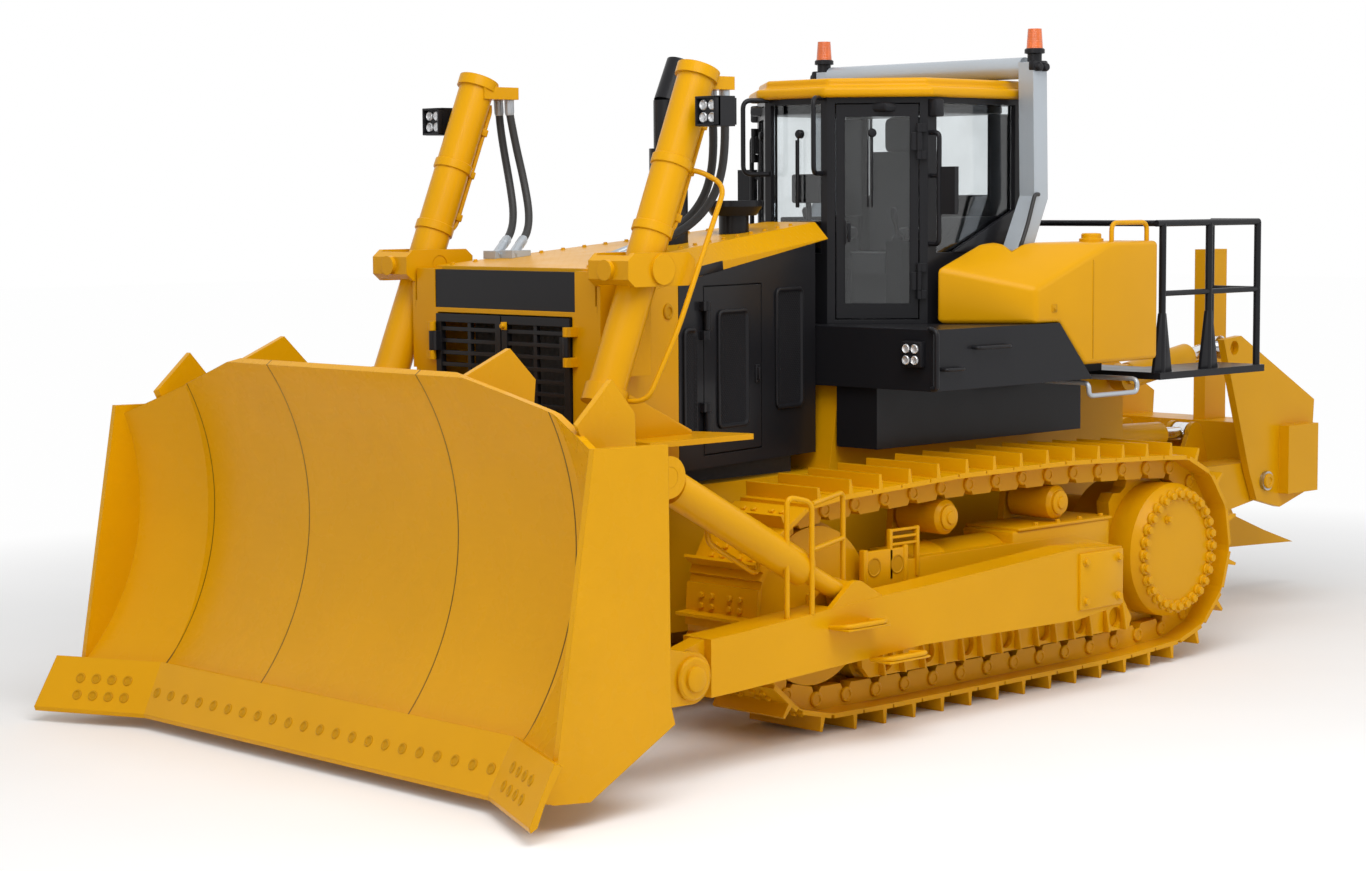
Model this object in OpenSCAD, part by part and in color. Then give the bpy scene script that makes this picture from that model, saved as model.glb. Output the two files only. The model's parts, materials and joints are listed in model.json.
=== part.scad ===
// Large crawler bulldozer with a semi-U blade and a single shank ripper.
// Working frame: X forward, Y left, Z up, millimetres, ground at Z = 0.
// X = 0 is the foremost track bar on the ground; place() moves the finished pieces
// so that the middle of the overall length lies over the origin.

/* [Tracks] */
// Distance between the middles of the two tracks
gauge = 2500; // [2300:10:2700]
// Width of a track shoe
shoe_w = 610; // [500:10:700]
// Distance between two track pins
track_pitch = 280; // [250:5:300]
// Height of the bar on a shoe
bar_h = 90; // [60:5:100]
// Thickness of a shoe's plate
shoe_t = 32; // [20:2:40]
// Pitch radius of the sprocket
sprocket_r = 580; // [560:5:600]
// Pitch radius of the idler
idler_r = 590; // [570:5:610]
// Sprocket centre, lengthwise
sprocket_x = -3640; // [-3700:10:-3600]
// Idler centre, lengthwise
idler_x = -30; // [-60:10:20]
// Number of track rollers on a side
roller_count = 7; // [6:1:7]

/* [Blade] */
// Half of the blade's width across the end plates
blade_half = 2310; // [2250:10:2400]
// Half of the straight middle part of the blade
blade_mid = 1735; // [1700:5:1800]
// Angle of the two wings
wing_angle = 25; // [20:1:28]
// Height of the blade's top edge
blade_top = 2330; // [2250:10:2400]
// Thickness of the curved front plate
mould_t = 45; // [30:5:60]
// Radius of the curved front
mould_r = 1550; // [1500:10:1700]
// Thickness of the cutting edge
edge_t = 50; // [40:5:60]

/* [Push arms] */
// Gap between the track shoes and a push arm
arm_gap = 105; // [95:5:120]
// Width of a push arm
arm_w = 230; // [200:10:240]
// Radius of the pins at the blade
arm_pin_r = 70; // [60:5:80]

/* [Cylinders] */
// Radius of a blade lift barrel
lift_r = 115; // [100:5:125]
// Radius of a blade lift rod
lift_rod_r = 62; // [50:2:75]
// Radius of a tilt barrel
tilt_r = 105; // [90:5:115]
// Radius of a tilt rod
tilt_rod_r = 60; // [45:5:70]

/* [Cab] */
// Half of the cab's width
cab_half = 800; // [780:5:815]
// Half of the narrow front face
cab_front_half = 290; // [260:5:330]
// Height of the cab floor
floor_z = 2460; // [2440:5:2480]
// Underside of the roof
cab_top = 3990; // [3900:10:4050]
// Thickness of the cab's posts and walls
cab_wall = 70; // [60:5:80]
// Thickness of the glass
glass_t = 8; // [6:1:10]

/* [Body] */
// Half of the nose's width at the front
nose_half = 860; // [840:5:870]
// Half of the hood's width at the cab
hood_rear_half = 350; // [330:5:380]
// Outer face of the fenders
fender_y = 1400; // [1350:10:1450]
// Thickness of the body panels
panel_t = 30; // [20:2:40]

/* [Ripper] */
// Half distance between the ripper's side plates
ripper_y = 780; // [770:5:790]
// Thickness of the ripper's side plates
ripper_plate = 60; // [50:5:70]
// Thickness of the shank
shank_t = 110; // [90:5:130]

/* [Hidden] */
$fn = 48;
// Running gap at pins and seats
seat_gap = 0.3;
arm_y = gauge / 2 + shoe_w / 2 + arm_gap + arm_w / 2;
// Gap between a moving panel and its frame
panel_gap = 8;

// Overall reach: blade end bit in front, shank tip behind
edge_half = blade_half + 105;
edge_front = 2866;
wing_line = 2600;
front_reach = wing_line + (edge_front - wing_line) / cos(wing_angle) + (edge_half - blade_mid) * tan(wing_angle);
rear_reach = -7440;
datum_x = -(front_reach + rear_reach) / 2;

// Track section, measured outwards from the pin line
link_in = 75;
plate_in = 68;
plate_out = plate_in + shoe_t;
bar_tip = plate_out + bar_h;
link_w = 85;
link_y = 105;
pin_line_z = bar_tip;
roller_r = 125;
roller_z = pin_line_z + link_in + roller_r;
sprocket_z = pin_line_z + sprocket_r + 35;
idler_z = pin_line_z + idler_r + 10;
carrier_r = 120;
carrier_z = 1238;
carrier_x = [-2432, -1267];
roller_x0 = -600;
roller_x1 = -3010;

yellow = [0.95, 0.68, 0.02];
black = [0.08, 0.08, 0.09];
silver = [0.72, 0.74, 0.76];
chrome = [0.85, 0.86, 0.88];
glass = [0.35, 0.42, 0.45];
amber = [0.95, 0.35, 0.03];

// Moves a finished piece from the working frame to the part's own frame
module place() { translate([datum_x, 0, 0]) children(); }
// A piece and its mirror image on the other side
module both_sides() {
    children();
    mirror([0, 1, 0]) children();
}
// An outline in X and Z, thick from y0 to y1
module side_plate(y0, y1) {
    translate([0, y1, 0]) rotate([90, 0, 0]) linear_extrude(y1 - y0) children();
}
// A round bar along Y
module cross_bar(x, z, r, y0, y1) {
    translate([x, y0, z]) rotate([-90, 0, 0]) cylinder(r = r, h = y1 - y0);
}
// A round bar between two points
module bar(p, q, r) {
    d = q - p;
    translate(p) rotate([0, acos(d.z / norm(d)), atan2(d.y, d.x)]) cylinder(r = r, h = norm(d));
}
// A bent tube along points, with round knees
module bent_tube(points, r) {
    for (i = [0 : len(points) - 2]) bar(points[i], points[i + 1], r);
    for (i = [1 : len(points) - 2]) translate(points[i]) sphere(r = r + 0.5, $fn = 24);
}
// A box from its lowest to its highest corner
module box(a, b) { translate(a) cube(b - a); }
// Everything on the outer side of a plane through p with normal n
module beyond(p, n, size = 6000) {
    translate(p) rotate([0, acos(n.z / norm(n)), atan2(n.y, n.x)])
        translate([-size / 2, -size / 2, 0]) cube(size);
}

// Hinge in its own frame: the axis is Z, x runs towards the door, the outer face lies at y = -hinge_out
hinge_pin_r = 12;
hinge_out = 28;
knuckle_r = 22;
knuckle_h = 120;
hinge_leaf = 50;
module hinge_door(z) {
    translate([0, 0, z]) difference() {
        union() {
            cylinder(r = knuckle_r, h = knuckle_h);
            translate([0, -hinge_out - 2, 0]) cube([hinge_leaf, hinge_out + 12, knuckle_h]);
        }
        translate([0, 0, -1]) cylinder(r = hinge_pin_r + seat_gap, h = knuckle_h + 2);
    }
}
module hinge_frame(z, drop = 0) {
    translate([0, 0, z - 60]) cylinder(r = hinge_pin_r, h = knuckle_h + 120);
    for (z0 = [z - 60, z + knuckle_h + 3]) translate([0, 0, z0]) {
        cylinder(r = knuckle_r, h = 57);
        translate([-hinge_leaf, -hinge_out - 2 - drop, 0]) cube([hinge_leaf, hinge_out + 12 + drop, 57]);
    }
}

// Track path: wheels that the pin line runs round, as [x, z, pitch radius]
wheels = [[sprocket_x, sprocket_z, sprocket_r],
    [carrier_x[0], carrier_z, carrier_r + link_in], [carrier_x[1], carrier_z, carrier_r + link_in],
    [idler_x, idler_z, idler_r],
    [roller_x0, roller_z, roller_r + link_in], [roller_x1, roller_z, roller_r + link_in]];
wheel_n = len(wheels);
function wheel(i) = wheels[(i + wheel_n) % wheel_n];
function centre(i) = [wheel(i)[0], wheel(i)[1]];
// Direction of the outer normal on the straight run from wheel i to the next
function run_normal(i) = let (d = centre(i + 1) - centre(i))
    atan2(d.y, d.x) + acos((wheel(i)[2] - wheel(i + 1)[2]) / norm(d));
function tangent(i, a) = centre(i) + wheel(i)[2] * [cos(a), sin(a)];
function turned(a) = a < 0 ? turned(a + 360) : a >= 360 ? turned(a - 360) : a;
function wrap_angle(i) = turned(run_normal(i - 1) - run_normal(i));
function arc_len(i) = wheel(i)[2] * wrap_angle(i) * PI / 180;
function run_len(i) = norm(tangent(i + 1, run_normal(i)) - tangent(i, run_normal(i)));
function start_of(i) = i == 0 ? 0 : start_of(i - 1) + arc_len(i - 1) + run_len(i - 1);
path_len = start_of(wheel_n - 1) + arc_len(wheel_n - 1) + run_len(wheel_n - 1);
shoe_count = round(path_len / track_pitch);
link_pitch = path_len / shoe_count;
// Point on the pin line at the length s from the start of the sprocket's arc
function on_path(s, i = 0) = let (rest = s - start_of(i))
    rest > arc_len(i) + run_len(i) && i < wheel_n - 1 ? on_path(s, i + 1)
    : rest <= arc_len(i) ? tangent(i, run_normal(i - 1) - rest / wheel(i)[2] * 180 / PI)
    : let (a = tangent(i, run_normal(i)), b = tangent(i + 1, run_normal(i)))
        a + (b - a) * (rest - arc_len(i)) / run_len(i);
pins = [for (i = [0 : shoe_count]) on_path(i == shoe_count ? 0 : i * link_pitch)];
// A shoe's own point: t along the chord, n outwards
function shoe_point(i, t, n) = let (a = pins[i], b = pins[i + 1], d = (b - a) / norm(b - a))
    (a + b) / 2 + d * t + [-d.y, d.x] * n;
half_shoe = link_pitch / 2 - 6;
bar_t0 = 40;
bar_t1 = 78;
shoe_outline = [for (i = [0 : shoe_count - 1]) each [
    shoe_point(i, -half_shoe, plate_in + shoe_t / 3), shoe_point(i, -half_shoe, plate_out),
    shoe_point(i, bar_t0, plate_out), shoe_point(i, bar_t0 + 12, bar_tip),
    shoe_point(i, bar_t1 - 6, bar_tip), shoe_point(i, bar_t1, plate_out),
    shoe_point(i, half_shoe, plate_out), shoe_point(i, half_shoe, plate_in + shoe_t / 3)]];
plate_inner = [for (i = [0 : shoe_count - 1]) each [
    shoe_point(i, -half_shoe, plate_in), shoe_point(i, half_shoe, plate_in)]];
half_link = link_pitch / 2 - 26;
half_rail = half_link - 24;
link_inner = [for (i = [0 : shoe_count - 1]) each [
    shoe_point(i, -half_link, -link_in * 0.45), shoe_point(i, -half_rail, -link_in),
    shoe_point(i, half_rail, -link_in), shoe_point(i, half_link, -link_in * 0.45)]];
link_outer = [for (i = [0 : shoe_count - 1]) each [
    shoe_point(i, -half_shoe, plate_in + 4), shoe_point(i, half_shoe, plate_in + 4)]];

module track(y) {
    color(yellow) {
        side_plate(y - shoe_w / 2, y + shoe_w / 2) difference() {
            polygon(shoe_outline);
            polygon(plate_inner);
        }
        for (side = [-1, 1]) side_plate(y + side * link_y - link_w / 2, y + side * link_y + link_w / 2)
            difference() {
                polygon(link_outer);
                polygon(link_inner);
            }
    }
}
module track_left() { track(gauge / 2); }
module track_right() { track(-gauge / 2); }

// Wheels of the track: the chord of a link lies inside its pitch circle
function tread_r(r) = sqrt(r * r - link_pitch * link_pitch / 4) - link_in - seat_gap;
web_w = 2 * link_y - link_w - 20;
axle_r = 55;
drum_r = tread_r(sprocket_r) - 12;
module idlers() {
    y = gauge / 2;
    r = tread_r(idler_r);
    color(yellow) both_sides() {
        translate([idler_x, y, idler_z]) rotate([90, 0, 0]) rotate_extrude() polygon([
            [axle_r + seat_gap, -link_y - link_w / 2], [r, -link_y - link_w / 2], [r, -web_w / 2], [r + 30, -web_w / 2],
            [r + 30, web_w / 2], [r, web_w / 2], [r, link_y + link_w / 2], [r - 60, link_y + link_w / 2],
            [r - 90, 60], [190, 60], [150, 190], [axle_r + seat_gap, 190]]);
    }
}
tooth_count = 13;
module sprockets() {
    y = gauge / 2;
    tooth_a = 360 / tooth_count;
    tooth = [[0.12, -50], [0.36, 10], [0.64, 10], [0.88, -50]];
    color(yellow) both_sides() side_plate(y - web_w / 2, y + web_w / 2)
        translate([sprocket_x, sprocket_z]) difference() {
            polygon([for (k = [0 : tooth_count - 1]) for (q = tooth)
                (sprocket_r + q[1]) * [cos((k + q[0]) * tooth_a), sin((k + q[0]) * tooth_a)]]);
            circle(r = drum_r + seat_gap, $fn = 96);
        }
}
drive_out = 310;
module final_drives() {
    y = gauge / 2;
    color(yellow) both_sides() translate([sprocket_x, y, sprocket_z]) rotate([-90, 0, 0]) {
        translate([0, 0, -drive_out]) cylinder(r = drum_r, h = 2 * drive_out - 60, $fn = 96);
        translate([0, 0, drive_out - 61]) cylinder(r1 = drum_r, r2 = drum_r - 45, h = 61, $fn = 96);
        translate([0, 0, case_half + seat_gap - gauge / 2]) cylinder(r = 330, h = gauge / 2 - drive_out - case_half);
    }
}
roller_step = (roller_x0 - roller_x1) / (roller_count - 1);
guard_in = 200;
guard_t = 40;
module track_rollers() {
    y = gauge / 2;
    color(yellow) both_sides() for (k = [0 : roller_count - 1])
        translate([roller_x0 - k * roller_step, y, roller_z]) rotate([90, 0, 0]) rotate_extrude() polygon([
            [0, -guard_in + seat_gap], [70, -guard_in + seat_gap], [70, -165], [roller_r - roller_drop, -165],
            [roller_r - roller_drop, -web_w / 2], [roller_r + 25, -web_w / 2], [roller_r + 25, web_w / 2],
            [roller_r - roller_drop, web_w / 2], [roller_r - roller_drop, 165], [70, 165],
            [70, guard_in - seat_gap], [0, guard_in - seat_gap]]);
}
roller_drop = 8;
carrier_drop = 6;
carrier_in = 190;
module carrier_rollers() {
    y = gauge / 2;
    color(yellow) both_sides() for (x = carrier_x)
        translate([x, y, carrier_z]) rotate([90, 0, 0]) rotate_extrude() polygon([
            [0, -carrier_in], [carrier_r - 30, -carrier_in], [carrier_r - carrier_drop, -165],
            [carrier_r - carrier_drop, 165], [55, 165], [55, carrier_in + 60 - seat_gap],
            [0, carrier_in + 60 - seat_gap]]);
}

// Track frames: box beam inside the loop, roller guards, idler fork and carrier posts
frame_half = 230;
frame_lo = 560;
frame_hi = 1010;
frame_front = idler_x - tread_r(idler_r) - 60;
frame_rear = -2990;
module track_frames() {
    y = gauge / 2;
    color(yellow) both_sides() difference() {
        union() {
            side_plate(y - frame_half, y + frame_half) polygon([[frame_front, frame_lo], [frame_front, 900],
                [-800, frame_hi], [-2500, frame_hi], [frame_rear, 900], [frame_rear, frame_lo]]);
            for (side = [-1, 1]) {
                inner = side > 0 ? y + guard_in : y - guard_in - guard_t;
                side_plate(inner, inner + guard_t) polygon([[roller_x0 + 230, frame_lo + 1],
                    [roller_x0 + 230, roller_z - 20], [roller_x0 + 160, roller_z - 95],
                    [roller_x1 - 160, roller_z - 95], [roller_x1 - 190, roller_z - 20],
                    [roller_x1 - 60, frame_lo + 1]]);
                side_plate(inner, inner + guard_t) polygon([[frame_front - 1, frame_lo], [frame_front - 1, 900],
                    [idler_x - 160, idler_z + 90], [idler_x + 130, idler_z + 90],
                    [idler_x + 130, idler_z - 90], [roller_x0 + 230, idler_z - 130],
                    [roller_x0 + 230, frame_lo]]);
            }
            for (x = carrier_x) side_plate(y - carrier_in - 60, y - carrier_in - 10) polygon([
                [x - 130, frame_hi - 1], [x - 90, carrier_z + 80], [x + 90, carrier_z + 80],
                [x + 130, frame_hi - 1]]);
            cross_bar(trunnion.x, trunnion.y, 95, y + frame_half - 1, arm_y - arm_w / 2 + 130);
        }
        for (k = [0 : roller_count - 1])
            cross_bar(roller_x0 - k * roller_step, roller_z, 70 + seat_gap, y - frame_half - 60, y + frame_half + 60);
        cross_bar(idler_x, idler_z, axle_r + seat_gap, y - frame_half - 60, y + frame_half + 60);
        for (x = carrier_x) cross_bar(x, carrier_z, 55 + seat_gap, y - carrier_in - 61, y);
    }
    color(yellow) both_sides() cross_bar(idler_x, idler_z, axle_r, y - guard_in - guard_t, y + guard_in + guard_t);
}

// Push arms, from the ball on the track frame to the pin at the blade
trunnion = [-2300, 770];
blade_pin = [1540, 600];
tilt_foot = [110, 905];
module push_arms() {
    y0 = arm_y - arm_w / 2;
    color(yellow) both_sides() difference() {
        union() {
            side_plate(y0, y0 + arm_w) polygon([[trunnion.x - 240, trunnion.y - 200],
                [trunnion.x - 240, trunnion.y + 200], [trunnion.x + 250, trunnion.y + 230],
                [-500, 910], [tilt_foot.x - 260, 895], [blade_pin.x - 420, 812], [blade_pin.x - 175, 800],
                [blade_pin.x - 175, 462], [blade_pin.x - 420, 470], [-500, 545], [trunnion.x + 250, trunnion.y - 250]]);
            side_plate(arm_y - 60, arm_y + 60) union() {
                translate(blade_pin) circle(r = 150);
                polygon([[blade_pin.x - 180, 465], [blade_pin.x - 180, 795], [blade_pin.x, blade_pin.y + 149],
                    [blade_pin.x, blade_pin.y - 149]]);
            }
            for (side = [-1, 1]) side_plate(arm_y + side * 90 - 20, arm_y + side * 90 + 20) union() {
                translate(tilt_foot) circle(r = 105);
                polygon([[tilt_foot.x - 250, 880], [tilt_foot.x - 60, tilt_foot.y + 86],
                    [tilt_foot.x + 60, tilt_foot.y + 86], [tilt_foot.x + 250, 850], [tilt_foot.x + 250, 760],
                    [tilt_foot.x - 250, 760]]);
            }
        }
        cross_bar(blade_pin.x, blade_pin.y, arm_pin_r + seat_gap, arm_y - 200, arm_y + 200);
        cross_bar(trunnion.x, trunnion.y, 95 + seat_gap, y0 - 10, y0 + 140);
        translate([tilt_foot.x, arm_y, tilt_foot.y]) rotate([90, 0, 0])
            cylinder(r = 190, h = 135, center = true);
    }
}

// Blade: one curved section, straight in the middle and mitred to the two wings
mould_low = [2650, 385];
mould_high = [2556, blade_top];
mould_mid = (mould_low + mould_high) / 2;
mould_chord = norm(mould_high - mould_low);
mould_axis = mould_mid + sqrt(mould_r * mould_r - mould_chord * mould_chord / 4)
    * [(mould_high - mould_low).y, -(mould_high - mould_low).x] / mould_chord;
mould_turn = atan2(mould_mid.y - mould_axis.y, mould_mid.x - mould_axis.x);
mould_sweep = asin(mould_chord / 2 / mould_r);
mould_steps = 36;
// Points of the curve at a radius, from the low edge to the high edge
function curve(r) = [for (i = [0 : mould_steps]) let (a = mould_turn + mould_sweep * (1 - 2 * i / mould_steps))
    mould_axis + r * [cos(a), sin(a)]];
function backwards(line) = [for (i = [len(line) - 1 : -1 : 0]) line[i]];
heel_toe = mould_low + [120, -185];
heel_top = mould_low + [5, 0];
// Where a section point meets the mitre between the middle part and a wing, and its place on a wing
function mitre_y(x) = blade_mid - (x - wing_line) * tan(wing_angle / 2);
function wing_x(x, y) = wing_line + (x - wing_line) / cos(wing_angle) + (y - blade_mid) * tan(wing_angle);
// Runs a section from one blade end over both mitres to the other end. Its face and its back
// are lines with the same number of points, from the low to the high edge.
module blade_run(face, back, half) {
    section = concat(face, backwards(back));
    n = len(section);
    rings = concat([for (p = section) [wing_x(p.x, half), -half, p.y]], [for (p = section) [p.x, -mitre_y(p.x), p.y]],
        [for (p = section) [p.x, mitre_y(p.x), p.y]], [for (p = section) [wing_x(p.x, half), half, p.y]]);
    near_end = [for (i = [0 : len(face) - 2]) [n - 1 - i, n - 2 - i, i + 1, i]];
    far_end = [for (q = near_end) [for (i = backwards(q)) 3 * n + i]];
    sides = [for (k = [0 : 2]) for (i = [0 : n - 1]) let (j = (i + 1) % n)
        [k * n + j, (k + 1) * n + j, (k + 1) * n + i, k * n + i]];
    polyhedron(rings, concat(near_end, far_end, sides));
}
lift_pin = [1950, 780];
lift_y = 1030;
tilt_head = [1700, 1760];
rib_y = [1081, blade_half - 300];
lug_gap = 150;
end_t = 40;
trim_line = concat([[mould_low.x, 0]], curve(mould_r + mould_t / 2), [[mould_high.x, 4000]]);
// Ribs and lugs on the back of one half of the blade, before the curved plate trims them
module behind_blade() {
    side_plate(rib_y[0] - 20, rib_y[0] + 20) polygon([[2600, 2300], [2530, 2325], [2174, 2476], [1985, 2290],
        [2060, 1500], [2240, 1200], [2500, 1400]]);
    side_plate(rib_y[1] - 20, rib_y[1] + 20) polygon([[2650, 2030], [2560, 2060], [2249, 2343], [2080, 2150],
        [2060, 700], [2500, 700]]);
    for (side = [-1, 1]) {
        side_plate(lift_y + side * (lug_gap / 2 + 25) - 22, lift_y + side * (lug_gap / 2 + 25) + 22) union() {
            translate(lift_pin) circle(r = 120);
            polygon([[lift_pin.x - 20, lift_pin.y + 118], [2400, 1150], [2400, 640], [2130, 560],
                [lift_pin.x - 20, lift_pin.y - 118]]);
        }
        side_plate(arm_y + side * 105 - 30, arm_y + side * 105 + 30) union() {
            translate(blade_pin) circle(r = 150);
            polygon([[blade_pin.x, blade_pin.y + 149], [2450, 950], [2450, 600], [2130, 460],
                [blade_pin.x, blade_pin.y - 149]]);
        }
        side_plate(arm_y + side * 110 - 25, arm_y + side * 110 + 25) union() {
            translate(tilt_head) circle(r = 120);
            polygon([[tilt_head.x, tilt_head.y + 119], [2520, 2080], [2450, 1400],
                [tilt_head.x, tilt_head.y - 119]]);
        }
    }
}
module blade() {
    color(yellow) difference() {
        union() {
            difference() {
                blade_run(curve(mould_r), curve(mould_r + mould_t), blade_half);
                both_sides() beyond([0, 1322, blade_top], [0, (blade_top - 2167), 1735 - 1322], 9000);
                both_sides() beyond([0, 1735, 2167], [0, 157, 574], 9000);
            }
            blade_run([heel_toe, heel_top, [2496, 500], [2414, 640], [2306, 900]],
                [heel_toe - [60, 30], [2080, 430], [2070, 600], [2060, 760], [2230, 900]], blade_half - 1);
            both_sides() difference() {
                side_plate(blade_half - end_t, blade_half) polygon([[2640, 2010], [2100, 2000], [2090, 570],
                    [2060, 465], [2690, 135], [2950, 160], [3040, 200], [2918, 385]]);
                blade_run([[edge_front + 90, 60], [edge_front + 90, 100], heel_top + [91 + edge_t, 72]],
                    [[edge_front - edge_t - 1, 60], heel_toe, heel_top], edge_half);
            }
            both_sides() difference() {
                behind_blade();
                blade_run([for (p = trim_line) [3600, p.y]], trim_line, blade_half + 50);
            }
        }
        both_sides() {
            cross_bar(tilt_head.x, tilt_head.y, 60 + seat_gap, arm_y - 200, arm_y + 200);
        }
    }
    color(yellow) both_sides() cross_bar(blade_pin.x, blade_pin.y, arm_pin_r, arm_y - 135, arm_y + 135);
}
module cutting_edge() {
    gap = [seat_gap, seat_gap];
    color(yellow) blade_run([[edge_front - 8, 72], [edge_front, 100], heel_top + [1 + edge_t, 24]],
        [[edge_front - edge_t, 92], heel_toe + gap, heel_top + gap], edge_half);
}

// Blade lift cylinders
lift_top = [1080, 2900];
lift_dir = (lift_pin - lift_top) / norm(lift_pin - lift_top);
function lift_at(d) = [lift_top.x + lift_dir.x * d, lift_y, lift_top.y + lift_dir.y * d];
barrel_up = 1290;
barrel_down = 860;
module lift_barrels() {
    color(yellow) both_sides() {
        difference() {
            union() {
                bar(lift_at(-barrel_up), lift_at(barrel_down), lift_r);
                bar(lift_at(-barrel_up - 10), lift_at(-barrel_up + 60), lift_r + 18);
                bar(lift_at(barrel_down - 110), lift_at(barrel_down), lift_r + 18);
                cross_bar(lift_top.x, lift_top.y, 60, lift_y - yoke_half - 25, lift_y + yoke_half + 38);
                manifold();
            }
            bar(lift_at(-barrel_up + 90), lift_at(barrel_down + 1), lift_rod_r + seat_gap);
        }
    }
}
// Block with the hose ports, behind the top of a barrel
manifold_x = 400;
manifold_lo = 3975;
module manifold() {
    box([manifold_x - 45, lift_y - 125, manifold_lo], [manifold_x + 250, lift_y + 75, manifold_lo + 80]);
}
module lift_rods() {
    reach = norm(lift_pin - lift_top);
    color(chrome) both_sides() {
        bar(lift_at(barrel_down - 700), lift_at(reach - 60), lift_rod_r);
        difference() {
            cross_bar(lift_pin.x, lift_pin.y, 85, lift_y - 60, lift_y + 60);
            cross_bar(lift_pin.x, lift_pin.y, 45, lift_y - 61, lift_y + 61);
        }
    }
}
module lift_lamps() {
    color(black) both_sides() {
        p = lift_at(-1010);
        box([p.x - 70, lift_y + lift_r + 60, p.z - 90], [p.x + 70, lift_y + lift_r + 230, p.z + 90]);
        bar([p.x, lift_y + lift_r + seat_gap, p.z], [p.x, lift_y + lift_r + 61, p.z], 22);
    }
}
yoke_half = 140;
yoke_in = 862;
yoke_reach = 275;
yoke_h = 100;
column_lo = 2250;
column_x = 870;
module yoke() {
    outer = lift_y + yoke_half;
    difference() {
        union() {
            side_plate(yoke_in, outer + 40) polygon([for (side = [[-1, -1], [-1, 1], [1, 1], [1, -1]])
                for (k = side.x * side.y > 0 ? [1, 0] : [0, 1])
                    lift_top + [side.x * (yoke_reach - 55 * k), side.y * (yoke_h - 45 * (1 - k))]]);
            bar([lift_top.x + yoke_reach - 20, lift_y, lift_top.y], [lift_top.x + yoke_reach + 28, lift_y, lift_top.y], 62);
            cross_bar(lift_top.x, lift_top.y, 92, outer + 39, outer + 58);
            box([column_x, yoke_in, column_lo], [nose_front, lift_y - yoke_half, lift_top.y]);
        }
        box([lift_top.x - yoke_reach + 40, lift_y - yoke_half, lift_top.y - yoke_h - 1],
            [lift_top.x + yoke_reach - 40, outer, lift_top.y + yoke_h + 1]);
        cross_bar(lift_top.x, lift_top.y, 60 + seat_gap, yoke_in - 1, outer + 41);
    }
    translate([0, 0, column_lo]) linear_extrude(header_lo - column_lo) polygon([[column_x, half_at(column_x) - 20],
        [nose_front, nose_half - 20], [nose_front, yoke_in + 5], [column_x, yoke_in + 5]]);
}

// Tilt cylinders between the blade and the push arms
tilt_dir = (tilt_foot - tilt_head) / norm(tilt_foot - tilt_head);
function tilt_at(d) = [tilt_head.x + tilt_dir.x * d, arm_y, tilt_head.y + tilt_dir.y * d];
tilt_len = norm(tilt_foot - tilt_head);
tilt_barrel_end = 1380;
module tilt_barrels() {
    color(yellow) both_sides() {
        difference() {
            union() {
                bar(tilt_at(60), tilt_at(180), 75);
                bar(tilt_at(160), tilt_at(tilt_barrel_end), tilt_r);
                cross_bar(tilt_head.x, tilt_head.y, 115, arm_y - 80, arm_y + 80);
            }
            bar(tilt_at(300), tilt_at(tilt_barrel_end + 1), tilt_rod_r + seat_gap);
        }
        cross_bar(tilt_head.x, tilt_head.y, 60, arm_y - 134, arm_y + 134);
    }
}
module tilt_rods() {
    color(chrome) both_sides() {
        difference() {
            union() {
                bar(tilt_at(700), tilt_at(tilt_len - 50), tilt_rod_r);
                cross_bar(tilt_foot.x, tilt_foot.y, 95, arm_y - 62, arm_y + 62);
            }
            cross_bar(tilt_foot.x, tilt_foot.y, 45, arm_y - 63, arm_y + 63);
        }
    }
}

// Main frame: belly, rear case and the ripper's brackets
case_half = 500;
tow_eye = [1090, 1060];
tow_y = 400;
tow_t = 60;
tow_r = 45;
ripper_low = [-4700, 900];
ripper_lift_head = [-4350, 1480];
beam_pin = [-5870, 1075];
arm_lug = [-5450, 1450];
plate_pin = [-5430, 2140];
ripper_tilt_head = ripper_low + plate_pin - beam_pin;
ripper_lift_y = 330;
ripper_tilt_y = case_half + 120;
module main_frame() {
    color(yellow) difference() {
        union() {
            side_plate(-case_half, case_half) polygon([[1000, 900], [1000, 1490], [panel_back - 5, 1490], [-1250, platform_lo],
                [platform_back, platform_lo], [platform_back, 1990], [-4360, 1990], [-4420, 1920], [-4420, 700], [-3900, 560], [500, 560]]);
            box([600, -700, 1300], [nose_front - 15, 700, nose_lo]);
            both_sides() {
                side_plate(case_half - 120, case_half - 60) union() {
                    translate(ripper_low) circle(r = 150);
                    polygon([[-4400, 690], [-4400, 1190], ripper_low + [0, 149], ripper_low - [0, 149]]);
                }
                box([-700, case_half - 1, 900], [-400, gauge / 2 - frame_half - seat_gap, 1000]);
                box([-3000, case_half - 1, 700], [-2700, gauge / 2 - frame_half - seat_gap, 900]);
                side_plate(tow_y - tow_t / 2, tow_y + tow_t / 2) union() {
                    translate(tow_eye) circle(r = 95);
                    polygon([[980, 940], tow_eye - [0, 94], tow_eye + [0, 94], [980, 1180]]);
                }
            }
        }
        both_sides() {
            cross_bar(tow_eye.x, tow_eye.y, tow_r, tow_y - tow_t, tow_y + tow_t);
            cross_bar(ripper_low.x, ripper_low.y, 70 + seat_gap, case_half - 130, case_half + 10);
            box([-4700, ripper_lift_y - 110, 1250], [-4180, ripper_lift_y + 110, 1700]);
        }
    }
    color(yellow) both_sides() {
        cross_bar(ripper_lift_head.x, ripper_lift_head.y, 50, ripper_lift_y - 110, ripper_lift_y + 110);
        cross_bar(ripper_tilt_head.x, ripper_tilt_head.y, 50, case_half - 1, ripper_tilt_y + 90);
    }
}
module engine_block() {
    color([0.3, 0.3, 0.31]) box([-950, -330, 1490], [450, 330, 2600]);
}

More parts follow.
